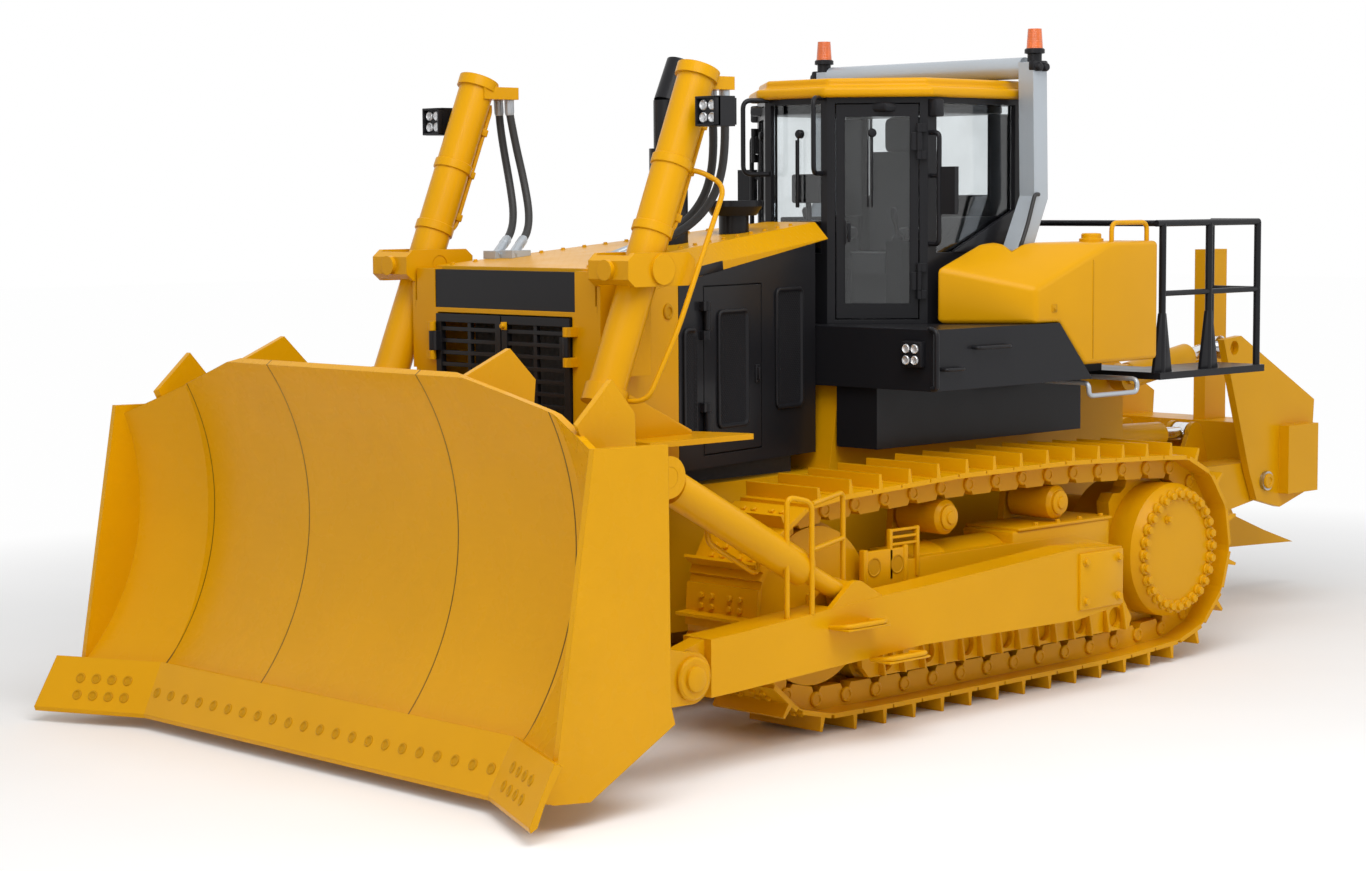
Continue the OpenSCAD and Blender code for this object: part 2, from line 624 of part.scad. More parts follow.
// Nose, hood and side panels, which narrow towards the cab
nose_front = 1285;
nose_back = 450;
hood_back = -1300;
function half_at(x) = hood_rear_half + (nose_half - hood_rear_half) * (x - hood_back) / (nose_front - hood_back);
function hood_edge(x) = 2679 + (nose_front - x) * 0.139;
function hood_top(x) = 2895 + (nose_front - x) * 0.1;
grille_half = 640;
grille_lo = 1560;
grille_hi = 2610;
nose_lo = 1490;
header_lo = 2640;
header_half = 664;
shelf_z = 1840;
shelf_t = 35;
module radiator_guard() {
    color(yellow) {
        difference() {
            under_hood(nose_lo) plan_wall(nose_back, nose_front, nose_lo, 3000);
            box([nose_front - 200, -grille_half, grille_lo], [nose_front + 1, grille_half, grille_hi]);
            box([nose_front - 200, -header_half, header_lo], [nose_front + 1, header_half, 3000]);
        }
        both_sides() {
            yoke();
            on_grille_hinge() for (z = grille_hinge_z) hinge_frame(z, grille_face - nose_front);
            box([nose_front - 60.7, header_half, grille_hi], [nose_front, nose_half - 15, 2885]);
            translate([0, 0, shelf_z]) linear_extrude(shelf_t) polygon([[nose_back + 20, half_at(nose_back + 20) - 20],
                [300, 1150], [300, 1200], [1180, 1200], [1180, half_at(1180) - 20]]);
        }
    }
}
// Front box of the nose: two tapering side walls and a front frame
module plan_wall(x0, x1, z0, z1) {
    translate([0, 0, z0]) linear_extrude(z1 - z0) difference() {
        polygon([[x0, -half_at(x0)], [x1, -half_at(x1)], [x1, half_at(x1)], [x0, half_at(x0)]]);
        polygon([[x0 - 1, -half_at(x0) + 60], [x1 - 60, -half_at(x1) + 60], [x1 - 60, half_at(x1) - 60],
            [x0 - 1, half_at(x0) - 60]]);
    }
}
module nose_header() {
    color(black) box([nose_front - 60, -header_half + 1, header_lo], [nose_front - 5, header_half - 1, 2880]);
}
module radiator() {
    color([0.2, 0.2, 0.2]) box([880, -620, nose_lo], [990, 620, 2600]);
}
module hood_section(x, t) {
    w = half_at(x);
    translate([x, 0, 0]) rotate([90, 0, 90]) linear_extrude(1) polygon([
        [-w + t, hood_edge(x)], [-w + t, hood_top(x) - 110 - t / 2], [-w + 120 + t / 2, hood_top(x) - t],
        [w - 120 - t / 2, hood_top(x) - t], [w - t, hood_top(x) - 110 - t / 2], [w - t, hood_edge(x)]]);
}
module hood() {
    color(yellow) difference() {
        hull() {
            hood_section(nose_front - 62, 0);
            hood_section(hood_back, 0);
        }
        hull() {
            hood_section(nose_front - 60, panel_t);
            hood_section(hood_back - 2, panel_t);
            translate([0, 0, -40]) hood_section(nose_front - 60, panel_t);
            translate([0, 0, -40]) hood_section(hood_back - 2, panel_t);
        }
    }
}
door_front = 170;
door_back = -480;
door_lo = 1700;
door_hi = 2760;
panel_back = -1140;
skirt_lo = 1610;
module panel_band(x0, x1, z0) {
    side = [x1 - x0, half_at(x1) - half_at(x0)] / norm([x1 - x0, half_at(x1) - half_at(x0)]);
    n = [-side.y, side.x];
    a = [x0, half_at(x0)];
    b = [x1, half_at(x1)];
    translate([0, 0, z0]) linear_extrude(2000) polygon([a, b, b - n * panel_t, a - n * panel_t]);
}
module under_hood(z0) {
    intersection() {
        children();
        side_plate(-2000, 2000) polygon([[panel_back, z0], [nose_front, z0],
            [nose_front, hood_edge(nose_front) - seat_gap], [panel_back, hood_edge(panel_back) - seat_gap]]);
    }
}
panel_turn = atan2(nose_half - hood_rear_half, nose_front - hood_back);
engine_hinge_x = door_front + panel_gap / 2;
engine_hinge_z = [door_lo + 150, door_hi - 270];
// Draws in the frame of the engine door's hinge
module on_engine_hinge() {
    translate([engine_hinge_x, half_at(engine_hinge_x), 0]) rotate([0, 0, panel_turn])
        translate([0, hinge_out, 0]) mirror([1, 0, 0]) children();
}
module side_panels() {
    color(black) both_sides() {
        difference() {
            under_hood(skirt_lo) panel_band(panel_back, nose_back - seat_gap - panel_t * sin(panel_turn), skirt_lo);
            box([door_back - panel_gap, 300, door_lo - panel_gap], [door_front + panel_gap, 1000, door_hi + panel_gap]);
        }
        on_engine_hinge() for (z = engine_hinge_z) hinge_frame(z);
    }
}
module engine_door() {
    color(black) {
        intersection() {
            panel_band(door_back, door_front, door_lo);
            box([door_back, 0, door_lo], [door_front, 2000, door_hi]);
        }
        on_engine_hinge() for (z = engine_hinge_z) hinge_door(z);
    }
}
module engine_door_left() { engine_door(); }
module engine_door_right() { mirror([0, 1, 0]) engine_door(); }
leaf_w = grille_half - 12;
grille_face = nose_front + 20;
grille_hinge_z = [grille_lo + 120, grille_hi - 240];
// Draws in the frame of the grille's hinge, at its outer edge
module on_grille_hinge() {
    translate([grille_face, grille_half - 3, 0]) rotate([0, 0, -90]) translate([0, hinge_out, 0]) children();
}
module grille_leaf() {
    x0 = nose_front - 20;
    color(black) {
        on_grille_hinge() for (z = grille_hinge_z) hinge_door(z);
        difference() {
            box([x0, 6, grille_lo + panel_gap], [x0 + 40, 6 + leaf_w, grille_hi - panel_gap]);
            box([x0 - 1, 56, grille_lo + 60], [x0 + 41, leaf_w - 44, grille_hi - 60]);
        }
        for (k = [0 : 11]) box([x0 + 4, 55, grille_lo + 110 + k * 75], [x0 + 34, leaf_w - 43, grille_lo + 135 + k * 75]);
        box([x0 + 5, leaf_w / 2 - 15, grille_lo + 59], [x0 + 33, leaf_w / 2 + 15, grille_hi - 59]);
    }
}
module grille_door_left() { grille_leaf(); }
module grille_door_right() { mirror([0, 1, 0]) grille_leaf(); }

// Platform under the cab with the black fender boxes
platform_lo = 2060;
platform_front = -1160;
platform_back = -3620;
module platform() {
    color(black) {
        translate([0, 0, platform_lo]) linear_extrude(floor_z - platform_lo) polygon([
            [platform_front, -fender_y], [-2480, -fender_y], [-2480, -900], [platform_back, -900],
            [platform_back, 900], [-2480, 900], [-2480, fender_y], [platform_front, fender_y]]);
        both_sides() {
            box([-3400, case_half + 20, 1650], [platform_front - 40, 880, platform_lo + 1]);
            side_plate(899, fender_y) polygon([[-2470, floor_z], [tank_step + panel_gap, floor_z],
                [tank_step + panel_gap - step_lean * (floor_z - platform_lo), platform_lo], [-2470, platform_lo]]);
        }
    }
}
tank_top = 3000;
tank_step = -2490;
step_lean = 0.92;
module tanks() {
    tank_in = 1045;
    color(yellow) both_sides() difference() {
        translate([0, 0, 2160]) linear_extrude(tank_top - 2160) polygon([[-1800, 880], [-2231, fender_y], [-3612, fender_y],
            [-3612, tank_in], [-2400, tank_in], [-2400, 880]]);
        beyond([-1850, 880, 2860], [119.6, 189.9, 332.3], 4000);
        side_plate(800, 1500) polygon([[tank_step, floor_z], [-1700, floor_z], [-1700, 2100],
            [tank_step - step_lean * (floor_z - 2100), 2100]]);
        box([-3700, 800, 2100], [-2400, 905, floor_z]);
    }
}

// Cab: six-sided plan, narrow in front, doors on the slanting faces
cab_nose_x = -1356;
cab_post_x = -1806;
cab_rear_x = -2900;
function cab_plan(t) = let (k = t * 0.42) [[cab_nose_x - t, -cab_front_half + k], [cab_post_x - k, -cab_half + t],
    [cab_rear_x + t, -cab_half + t], [cab_rear_x + t, cab_half - t], [cab_post_x - k, cab_half - t],
    [cab_nose_x - t, cab_front_half - k]];
door_z0 = floor_z + 30;
door_z1 = cab_top - 40;
door_vec = [cab_post_x - cab_nose_x, cab_half - cab_front_half];
door_len = norm(door_vec);
door_turn = atan2(door_vec.y, door_vec.x);
// Draws in the door's own frame: x from the front post to the hinge, y outwards is negative
module on_door() {
    translate([cab_nose_x, cab_front_half, 0]) rotate([0, 0, door_turn]) children();
}
post_w = 55;
sill = 480;
cab_hinge_z = [door_z0 + 200, door_z1 - 320];
// Draws in the frame of the cab door's hinge
module on_cab_hinge() {
    on_door() translate([door_len - post_w - panel_gap / 2, -hinge_out, 0]) rotate([0, 0, 180]) children();
}
module cab_shell() {
    color(black) both_sides() on_cab_hinge() for (z = cab_hinge_z) hinge_frame(z);
    color(black) difference() {
        translate([0, 0, floor_z]) linear_extrude(cab_top - floor_z) difference() {
            polygon(cab_plan(0));
            polygon(cab_plan(cab_wall));
        }
        both_sides() on_door() box([post_w, -200, door_z0], [door_len - post_w, 200, door_z1]);
        box([cab_nose_x - 200, -cab_front_half + post_w, floor_z + sill], [cab_nose_x + 200, cab_front_half - post_w, door_z1]);
        both_sides() box([cab_rear_x + 160, cab_half - 200, floor_z + sill], [cab_post_x - 90, cab_half + 200, door_z1]);
        box([cab_rear_x - 200, -cab_half + 130, floor_z + sill], [cab_rear_x + 200, cab_half - 130, door_z1]);
    }
}
module cab_roof() {
    color(yellow) translate([0, 0, cab_top]) linear_extrude(70) polygon(cab_plan(-60));
    color(yellow) translate([0, 0, cab_top + 70]) linear_extrude(60) polygon(cab_plan(10));
}
module cab_glass() {
    pane = cab_wall / 2;
    lip = 0.3;
    color(glass) {
        box([cab_nose_x - pane - glass_t, -cab_front_half + post_w + lip, floor_z + sill + lip],
            [cab_nose_x - pane, cab_front_half - post_w - lip, door_z1 - lip]);
        both_sides() box([cab_rear_x + 160 + lip, cab_half - pane - glass_t, floor_z + sill + lip],
            [cab_post_x - 90 - lip, cab_half - pane, door_z1 - lip]);
        box([cab_rear_x + pane, -cab_half + 130 + lip, floor_z + sill + lip],
            [cab_rear_x + pane + glass_t, cab_half - 130 - lip, door_z1 - lip]);
    }
}
door_t = 55;
module cab_door() {
    color(black) on_cab_hinge() for (z = cab_hinge_z) hinge_door(z);
    color(black) on_door() difference() {
        box([post_w + panel_gap, 0, door_z0 + panel_gap], [door_len - post_w - panel_gap, door_t, door_z1 - panel_gap]);
        box([post_w + panel_gap + 60, -1, door_z0 + 110], [door_len - post_w - panel_gap - 60, door_t + 1, door_z1 - 90]);
    }
}
module door_pane() {
    color(glass) on_door() box([post_w + panel_gap + 60.3, 20, door_z0 + 110.3],
        [door_len - post_w - panel_gap - 60.3, 20 + glass_t, door_z1 - 90.3]);
}
module cab_door_left() { cab_door(); }
module cab_door_right() { mirror([0, 1, 0]) cab_door(); }
module door_glass_left() { door_pane(); }
module door_glass_right() { mirror([0, 1, 0]) door_pane(); }
module seat() {
    color([0.15, 0.15, 0.16]) {
        box([-2420, -260, floor_z], [-2080, 260, floor_z + 330]);
        box([-2450, -280, floor_z + 329], [-1960, 280, floor_z + 470]);
        box([-2560, -270, floor_z + 400], [-2420, 270, floor_z + 1180]);
    }
}
module console() {
    color(black) {
        box([-1700, -200, floor_z], [-1520, 200, floor_z + 700]);
        both_sides() box([-2350, 340, floor_z], [-1900, 480, floor_z + 560]);
    }
}
rops_top = 4240;
module rops() {
    leg0 = 905;
    leg1 = 1035;
    color(silver) {
        both_sides() side_plate(leg0, leg1) polygon([[-2640, rops_top], [-2660, 3320], [-2470, 2950], [-2440, floor_z],
            [-2600, floor_z], [-2640, 2950], [-2810, 3300], [-2790, rops_top]]);
        bar([-2715, -leg0 - 1, 4202], [-2715, leg0 + 1, 4202], 75);
    }
}
module beacons() {
    color(amber) both_sides() translate([-2715, 988, rops_top]) {
        cylinder(r = 45, h = 60);
        translate([0, 0, 59]) cylinder(r = 65, h = 30);
        translate([0, 0, 88]) cylinder(r1 = 58, r2 = 48, h = 140);
    }
}
// Trims what stands on the sloping hood so that it seats on its top
module on_hood() {
    difference() {
        children();
        beyond([nose_front, 0, hood_top(nose_front) + seat_gap], [-(hood_top(0) - hood_top(1)), 0, -1]);
    }
}
module exhaust() {
    foot = [-30, 120, hood_top(-30) - 60];
    knee = [-30, 120, 3930];
    mouth = [-150, 120, 4190];
    color(black) on_hood() difference() {
        union() {
            bar(foot, [foot.x, foot.y, 3640], 125);
            bar(foot, knee + [0, 0, 20], 95);
            bar(knee, mouth, 95);
        }
        bar(knee + (mouth - knee) / 2, mouth + (mouth - knee), 86);
    }
}
module precleaner() {
    color(black) on_hood() translate([-650, 100, hood_top(-650) - 60]) {
        cylinder(r = 100, h = 175);
        translate([0, 0, 174]) cylinder(r1 = 150, r2 = 190, h = 60);
        translate([0, 0, 233]) cylinder(r = 190, h = 40);
    }
}
module mirrors() {
    color(black) both_sides() {
        bar([cab_post_x - 40, cab_half + seat_gap, 3460], [cab_post_x - 40, cab_half + 61, 3460], 14);
        box([cab_post_x - 60, cab_half + 60, 3200], [cab_post_x - 20, cab_half + 220, 3520]);
    }
}
module rear_rails() {
    color(black) {
        both_sides() {
            box([-4950, 900, 2010], [-3640, fender_y, 2060]);
            for (x = [-3740, -4310, -4930]) bar([x, fender_y - 60, 2059], [x, fender_y - 60, 3120], 26);
            bent_tube([[-3660, fender_y - 60, 3120], [-4930, fender_y - 60, 3120], [-4930, 930, 3120]], 24);
            bent_tube([[-3740, fender_y - 60, 2620], [-4930, fender_y - 60, 2620], [-4930, 930, 2620]], 20);
            bar([-4930, 930, 2059], [-4930, 930, 3121], 26);
        }
        box([-4140, -901, 1990], [-3640, 901, 2060]);
    }
}

// Ripper: lower arm, loose pin, beam with side plates, shank, four cylinders
arm_in = case_half - 55;
arm_out = ripper_y - ripper_plate / 2 - 8;
module ripper_arm() {
    color(yellow) {
        both_sides() difference() {
            side_plate(arm_in, arm_out) union() {
                translate(ripper_low) circle(r = 140);
                translate(beam_pin) circle(r = 150);
                polygon([ripper_low + [0, 139], [-5200, 1230], beam_pin + [0, 149], beam_pin - [0, 149],
                    ripper_low - [0, 139]]);
            }
            cross_bar(beam_pin.x, beam_pin.y, 75 + seat_gap, 0, 1000);
        }
        both_sides() cross_bar(ripper_low.x, ripper_low.y, 70, case_half - 125, arm_in + 1);
        side_plate(-arm_in - 1, arm_in + 1) polygon([[-5050, 900], [-5050, 1120], [-5650, 1190], [-5650, 990]]);
        both_sides() for (side = [-1, 1])
            side_plate(ripper_lift_y + side * 95 - 20, ripper_lift_y + side * 95 + 20) union() {
                translate(arm_lug) circle(r = 95);
                polygon([arm_lug + [94, 0], [-5150, 1100], [-5640, 1150], arm_lug - [94, 0]]);
            }
    }
}
module ripper_pin() {
    color(silver) both_sides() cross_bar(beam_pin.x, beam_pin.y, 75, arm_in - 30, ripper_y + ripper_plate / 2 + 30);
}
module ripper_beam() {
    color(yellow) difference() {
        union() {
            both_sides() side_plate(ripper_y - ripper_plate / 2, ripper_y + ripper_plate / 2) polygon([[-5285, 2207],
                [-5520, 2230], [-6555, 1680], [-6500, 960], [-6080, 850], [-5758, 930], [-5650, 1160]]);
            box([-6480, -900, 960], [-6060, 900, 1500]);
        }
        both_sides() {
            cross_bar(beam_pin.x, beam_pin.y, 75 + seat_gap, 600, 1000);
            cross_bar(plate_pin.x, plate_pin.y, 55, 600, 1000);
        }
        box([-6420, -shank_t / 2 - 10, 900], [-6130, shank_t / 2 + 10, 1600]);
    }
}
module ripper_shank() {
    color(yellow) side_plate(-shank_t / 2, shank_t / 2) polygon([[-6130.3, 2880], [-6419.7, 2880], [-6419.7, 900],
        [-6560, 680], [-7000, 520], [rear_reach, 380], [-7000, 400], [-6500, 420], [-6200, 600], [-6130.3, 900]]);
}
rl_dir = (arm_lug - ripper_lift_head) / norm(arm_lug - ripper_lift_head);
function rl_at(d) = [ripper_lift_head.x + rl_dir.x * d, ripper_lift_y, ripper_lift_head.y + rl_dir.y * d];
rt_dir = (plate_pin - ripper_tilt_head) / norm(plate_pin - ripper_tilt_head);
function rt_at(d) = [ripper_tilt_head.x + rt_dir.x * d, ripper_tilt_y, ripper_tilt_head.y + rt_dir.y * d];
module ripper_lift_barrels() {
    color(yellow) both_sides() difference() {
        union() {
            cross_bar(ripper_lift_head.x, ripper_lift_head.y, 95, ripper_lift_y - 60, ripper_lift_y + 60);
            bar(rl_at(50), rl_at(760), 100);
        }
        cross_bar(ripper_lift_head.x, ripper_lift_head.y, 50 + seat_gap, ripper_lift_y - 101, ripper_lift_y + 101);
        bar(rl_at(140), rl_at(761), 55 + seat_gap);
    }
}
module ripper_lift_rods() {
    reach = norm(arm_lug - ripper_lift_head);
    color(chrome) both_sides() {
        bar(rl_at(330), rl_at(reach - 60), 55);
        difference() {
            cross_bar(arm_lug.x, arm_lug.y, 85, ripper_lift_y - 60, ripper_lift_y + 60);
            cross_bar(arm_lug.x, arm_lug.y, 42, ripper_lift_y - 61, ripper_lift_y + 61);
        }
    }
}
module ripper_tilt_barrels() {
    color(yellow) both_sides() difference() {
        union() {
            cross_bar(ripper_tilt_head.x, ripper_tilt_head.y, 100, ripper_tilt_y - 60, ripper_tilt_y + 60);
            bar(rt_at(50), rt_at(800), 100);
        }
        cross_bar(ripper_tilt_head.x, ripper_tilt_head.y, 50 + seat_gap, ripper_tilt_y - 61, ripper_tilt_y + 61);
        bar(rt_at(110), rt_at(801), 55 + seat_gap);
    }
}
module ripper_tilt_rods() {
    reach = norm(plate_pin - ripper_tilt_head);
    color(chrome) both_sides() {
        bar(rt_at(390), rt_at(reach - 60), 55);
        cross_bar(plate_pin.x, plate_pin.y, 90, ripper_tilt_y - 60, ripper_tilt_y + 60);
        cross_bar(plate_pin.x, plate_pin.y, 50, ripper_tilt_y - 90, ripper_y - ripper_plate / 2 - 6);
    }
}

// Hydraulic hoses from the top of each lift barrel to the front of the hood
hose_r = 26;
hose_outer = [[400, 1060, 3973], [396, 1059, 3900], [388, 1052, 3780], [376, 1036, 3640], [370, 1008, 3500],
    [380, 966, 3370], [412, 910, 3260], [468, 848, 3172], [540, 786, 3108], [620, 728, 3062], [700, 676, 3026]];
hose_inner = [[400, 950, 3973], [398, 950, 3900], [380, 940, 3780], [360, 922, 3640], [346, 892, 3500],
    [350, 850, 3370], [378, 794, 3260], [430, 732, 3172], [500, 670, 3108], [580, 612, 3062], [660, 560, 3026]];
sides = 8;
function along(p, i) = i == 0 ? p[1] - p[0] : i == len(p) - 1 ? p[i] - p[i - 1] : p[i + 1] - p[i - 1];
function ring(p, i, r) = let (d = along(p, i) / norm(along(p, i)), u = cross(d, [0, 1, 0]) / norm(cross(d, [0, 1, 0])),
    v = cross(d, u)) [for (k = [0 : sides - 1]) p[i] + r * (u * cos(k * 360 / sides) + v * sin(k * 360 / sides))];
module hose(p) {
    n = len(p);
    color(black) polyhedron([for (i = [0 : n - 1]) each ring(p, i, hose_r)], concat(
        [[for (k = [0 : sides - 1]) k]],
        [for (i = [0 : n - 2]) for (k = [0 : sides - 1]) let (a = i * sides + k, b = i * sides + (k + 1) % sides)
            [a, a + sides, b + sides, b]],
        [[for (k = [0 : sides - 1]) (n - 1) * sides + sides - 1 - k]]));
}
// Bent pipe ends on the hood that the hoses run into
module hose_fittings() {
    color(silver) both_sides() on_hood() for (p = [hose_outer, hose_inner]) {
        n = len(p);
        d = (p[n - 1] - p[n - 2]) / norm(p[n - 1] - p[n - 2]);
        bar(p[n - 1] + d * seat_gap, p[n - 1] + d * 190, hose_r + 4);
        translate([p[n - 1].x + d.x * 110, p[n - 1].y + d.y * 110, hood_top(p[n - 1].x) - 60])
            translate([-80, -60, 0]) cube([160, 120, 95]);
    }
}
module hose_left_outer() { hose(hose_outer); }
module hose_left_inner() { hose(hose_inner); }
module hose_right_outer() { mirror([0, 1, 0]) hose(hose_outer); }
module hose_right_inner() { mirror([0, 1, 0]) hose(hose_inner); }

place() main_frame();
place() engine_block();
place() radiator();
place() radiator_guard();
place() nose_header();
place() hood();
place() side_panels();
place() engine_door_left();
place() engine_door_right();
place() grille_door_left();
place() grille_door_right();
place() platform();
place() tanks();
place() cab_shell();
place() cab_roof();
place() cab_glass();
place() cab_door_left();
place() cab_door_right();
place() door_glass_left();
place() door_glass_right();
place() seat();
place() console();
place() rops();
place() exhaust();
place() precleaner();
place() beacons();
place() mirrors();
place() rear_rails();
place() track_frames();
place() track_left();
place() track_right();
place() idlers();
place() sprockets();
place() final_drives();
place() track_rollers();
place() carrier_rollers();
place() push_arms();
place() blade();
place() cutting_edge();
place() lift_barrels();
place() lift_rods();
place() lift_lamps();
place() tilt_barrels();
place() tilt_rods();
place() ripper_arm();
place() ripper_pin();
place() ripper_beam();
place() ripper_shank();
place() ripper_lift_barrels();
place() ripper_lift_rods();
place() ripper_tilt_barrels();
place() ripper_tilt_rods();
place() hose_fittings();
place() hose_left_outer();
place() hose_left_inner();
place() hose_right_outer();
place() hose_right_inner();
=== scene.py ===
"""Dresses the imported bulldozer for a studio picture: finishes, hoses, bolts, trim, camera and light."""
import json
import math

import bpy
from bpy.props import FloatProperty, FloatVectorProperty, IntProperty, PointerProperty
from mathutils import Matrix, Vector


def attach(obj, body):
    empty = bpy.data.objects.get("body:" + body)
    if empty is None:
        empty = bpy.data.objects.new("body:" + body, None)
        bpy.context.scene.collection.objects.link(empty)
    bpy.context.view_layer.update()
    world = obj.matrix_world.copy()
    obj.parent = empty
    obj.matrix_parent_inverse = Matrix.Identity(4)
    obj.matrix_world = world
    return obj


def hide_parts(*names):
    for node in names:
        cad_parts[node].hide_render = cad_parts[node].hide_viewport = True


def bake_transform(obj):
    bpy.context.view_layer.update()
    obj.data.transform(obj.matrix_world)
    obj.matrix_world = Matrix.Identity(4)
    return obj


bl_info = {
    "name": "Bulldozer dressing",
    "version": (1, 0, 0),
    "blender": (4, 5, 0),
    "location": "View3D > Sidebar > Bulldozer",
    "description": "Finishes, hoses, bolts, trim and studio for a crawler bulldozer",
    "category": "Object",
}

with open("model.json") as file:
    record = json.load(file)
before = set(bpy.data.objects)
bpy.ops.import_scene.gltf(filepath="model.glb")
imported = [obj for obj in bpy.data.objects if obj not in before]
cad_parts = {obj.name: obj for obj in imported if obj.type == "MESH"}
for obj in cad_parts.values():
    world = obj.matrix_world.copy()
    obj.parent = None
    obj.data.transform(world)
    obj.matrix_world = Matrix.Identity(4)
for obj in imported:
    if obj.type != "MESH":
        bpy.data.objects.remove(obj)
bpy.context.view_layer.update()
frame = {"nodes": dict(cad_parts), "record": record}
# Place in the frame, in metres, of the track's foremost ground bar, from which lengths are measured
DATUM = 2.114706
SIDES = (("left", 1), ("right", -1))
UP = Vector((0, 0, 1))
# Edges that turn by less than this are shaded smooth
SMOOTH = math.radians(35)
# Millimetres out from the machine's middle, beyond its side panels and tanks
BESIDE = 2200
# Middle of a track and pitch of its links, in millimetres
TRACK_MIDDLE = 1250
TRACK_PITCH = 280
# Wheels that the line of track pins runs round: place, height and radius of the line, in millimetres
WHEELS = ((-3640, 805, 580), (-2432, 1238, 195), (-1267, 1238, 195),
          (-30, 790, 590), (-600, 390, 200), (-3010, 390, 200))
SPROCKET, CARRIERS = WHEELS[0], WHEELS[1:3]
# Trunnion of a lift barrel, in millimetres, and how its axis leans back and rises
TRUNNION = (1080, 1030, 2900)
LEAN, RISE = 0.3796, 0.9251


class BulldozerColours(bpy.types.PropertyGroup):
    """Colours of the finishes"""
    yellow: FloatVectorProperty(
        name="Yellow paint", description="Body, blade and undercarriage",
        subtype="COLOR", default=(0.67, 0.32, 0.001))
    black: FloatVectorProperty(
        name="Black paint", description="Cab, side panels and platform",
        subtype="COLOR", default=(0.012, 0.012, 0.014))
    silver: FloatVectorProperty(
        name="Silver paint", description="Roll-over arch and hose fittings",
        subtype="COLOR", default=(0.42, 0.46, 0.5))
    glass: FloatVectorProperty(
        name="Glass", description="Tint of the panes", subtype="COLOR", default=(0.86, 0.89, 0.9))
    rubber: FloatVectorProperty(
        name="Rubber", description="Hoses and seals", subtype="COLOR", default=(0.012, 0.012, 0.012))
    amber: FloatVectorProperty(
        name="Amber", description="Lenses of the beacons", subtype="COLOR", default=(0.75, 0.14, 0.01))


class BulldozerSizes(bpy.types.PropertyGroup):
    """Sizes of the added trim"""
    hose_radius: FloatProperty(
        name="Hose radius", description="Half of a lift hose's width", default=0.026, unit="LENGTH")
    edge_bolts: IntProperty(
        name="Edge bolts", description="Bolts along the straight part of the cutting edge", default=22)
    drive_bolts: IntProperty(
        name="Drive bolts", description="Bolts in the ring of a final drive", default=28)
    rail_radius: FloatProperty(
        name="Rail radius", description="Half of a handrail's width", default=0.017, unit="LENGTH")


class BulldozerStudio(bpy.types.PropertyGroup):
    """Camera and light"""
    eye: FloatVectorProperty(
        name="Camera", description="Place of the camera",
        subtype="TRANSLATION", default=(14.23157, 12.6999, 3.32067))
    yaw: FloatProperty(
        name="Yaw", description="Heading of the view", subtype="ANGLE", default=math.radians(225.7307))
    pitch: FloatProperty(
        name="Pitch", description="Tilt of the view", subtype="ANGLE", default=math.radians(-5.0448))
    roll: FloatProperty(
        name="Roll", description="Turn of the frame", subtype="ANGLE", default=math.radians(-0.365))
    lens: FloatProperty(
        name="Focal length", description="On a 36 mm frame", unit="CAMERA", default=70.908)
    key: FloatProperty(
        name="Key light", description="Power of the big light overhead", unit="POWER", default=1550)
    fill: FloatProperty(
        name="Fill light", description="Power of the light beside the camera", unit="POWER", default=240)
    sky: FloatProperty(
        name="Sky", description="Strength of the even light all round", default=0.52)


def spot(x, y, z):
    """A point measured in millimetres from the foremost ground bar of the track"""
    return Vector((x / 1000 + DATUM, y / 1000, z / 1000))


def route(s, *points):
    """Points measured in the same way on one side of the machine"""
    return [spot(x, s * y, z) for x, y, z in points]


def deselect():
    bpy.ops.object.select_all(action="DESELECT")


def take(piece):
    deselect()
    piece.select_set(True)
    bpy.context.view_layer.objects.active = piece
    return piece


def settle(piece, place=None):
    """Moves a piece to its place and puts that place into its mesh"""
    take(piece)
    if place is not None:
        piece.matrix_world = place @ piece.matrix_world
    bpy.ops.object.transform_apply(location=True, rotation=True, scale=True)
    return piece


def soften(piece, width, segments=2):
    """Rounds a piece's sharp edges"""
    take(piece)
    modifier = piece.modifiers.new("rounded", "BEVEL")
    modifier.width = width
    modifier.segments = segments
    modifier.limit_method = "ANGLE"
    bpy.ops.object.modifier_apply(modifier=modifier.name)
    bpy.ops.object.shade_smooth_by_angle(angle=SMOOTH)
    return piece


def block(name, size, rounded, place=None):
    """A rounded block about the origin, then moved to its place"""
    deselect()
    bpy.ops.mesh.primitive_cube_add(size=1)
    piece = bpy.context.object
    piece.name = name
    piece.scale = size
    settle(piece)
    soften(piece, rounded)
    return settle(piece, place)


def box(name, first, second, rounded):
    """A rounded block between two opposite corners"""
    size = [abs(b - a) for a, b in zip(first, second)]
    return block(name, size, rounded, Matrix.Translation((first + second) / 2))


def turned(name, profile, sides, place=None):
    """A turned piece from rings of radius and height; a profile that closes makes a hoop"""
    deselect()
    radius, height = profile[0]
    fill = "NOTHING" if profile[0] == profile[-1] else "NGON"
    bpy.ops.mesh.primitive_circle_add(vertices=sides, radius=radius, fill_type=fill, location=(0, 0, height))
    piece = bpy.context.object
    piece.name = name
    settle(piece)
    bpy.ops.object.mode_set(mode="EDIT")
    bpy.ops.mesh.select_all(action="SELECT")
    for wide, tall in profile[1:]:
        bpy.ops.mesh.extrude_region_move(TRANSFORM_OT_translate={"value": (0, 0, tall - height)})
        scale = wide / radius
        bpy.ops.transform.resize(value=(scale, scale, 1), center_override=(0, 0, tall))
        radius, height = wide, tall
    bpy.ops.mesh.select_all(action="SELECT")
    bpy.ops.mesh.remove_doubles(threshold=0.00001)
    bpy.ops.mesh.normals_make_consistent(inside=False)
    bpy.ops.object.mode_set(mode="OBJECT")
    bpy.ops.object.shade_smooth_by_angle(angle=SMOOTH)
    return settle(piece, place)


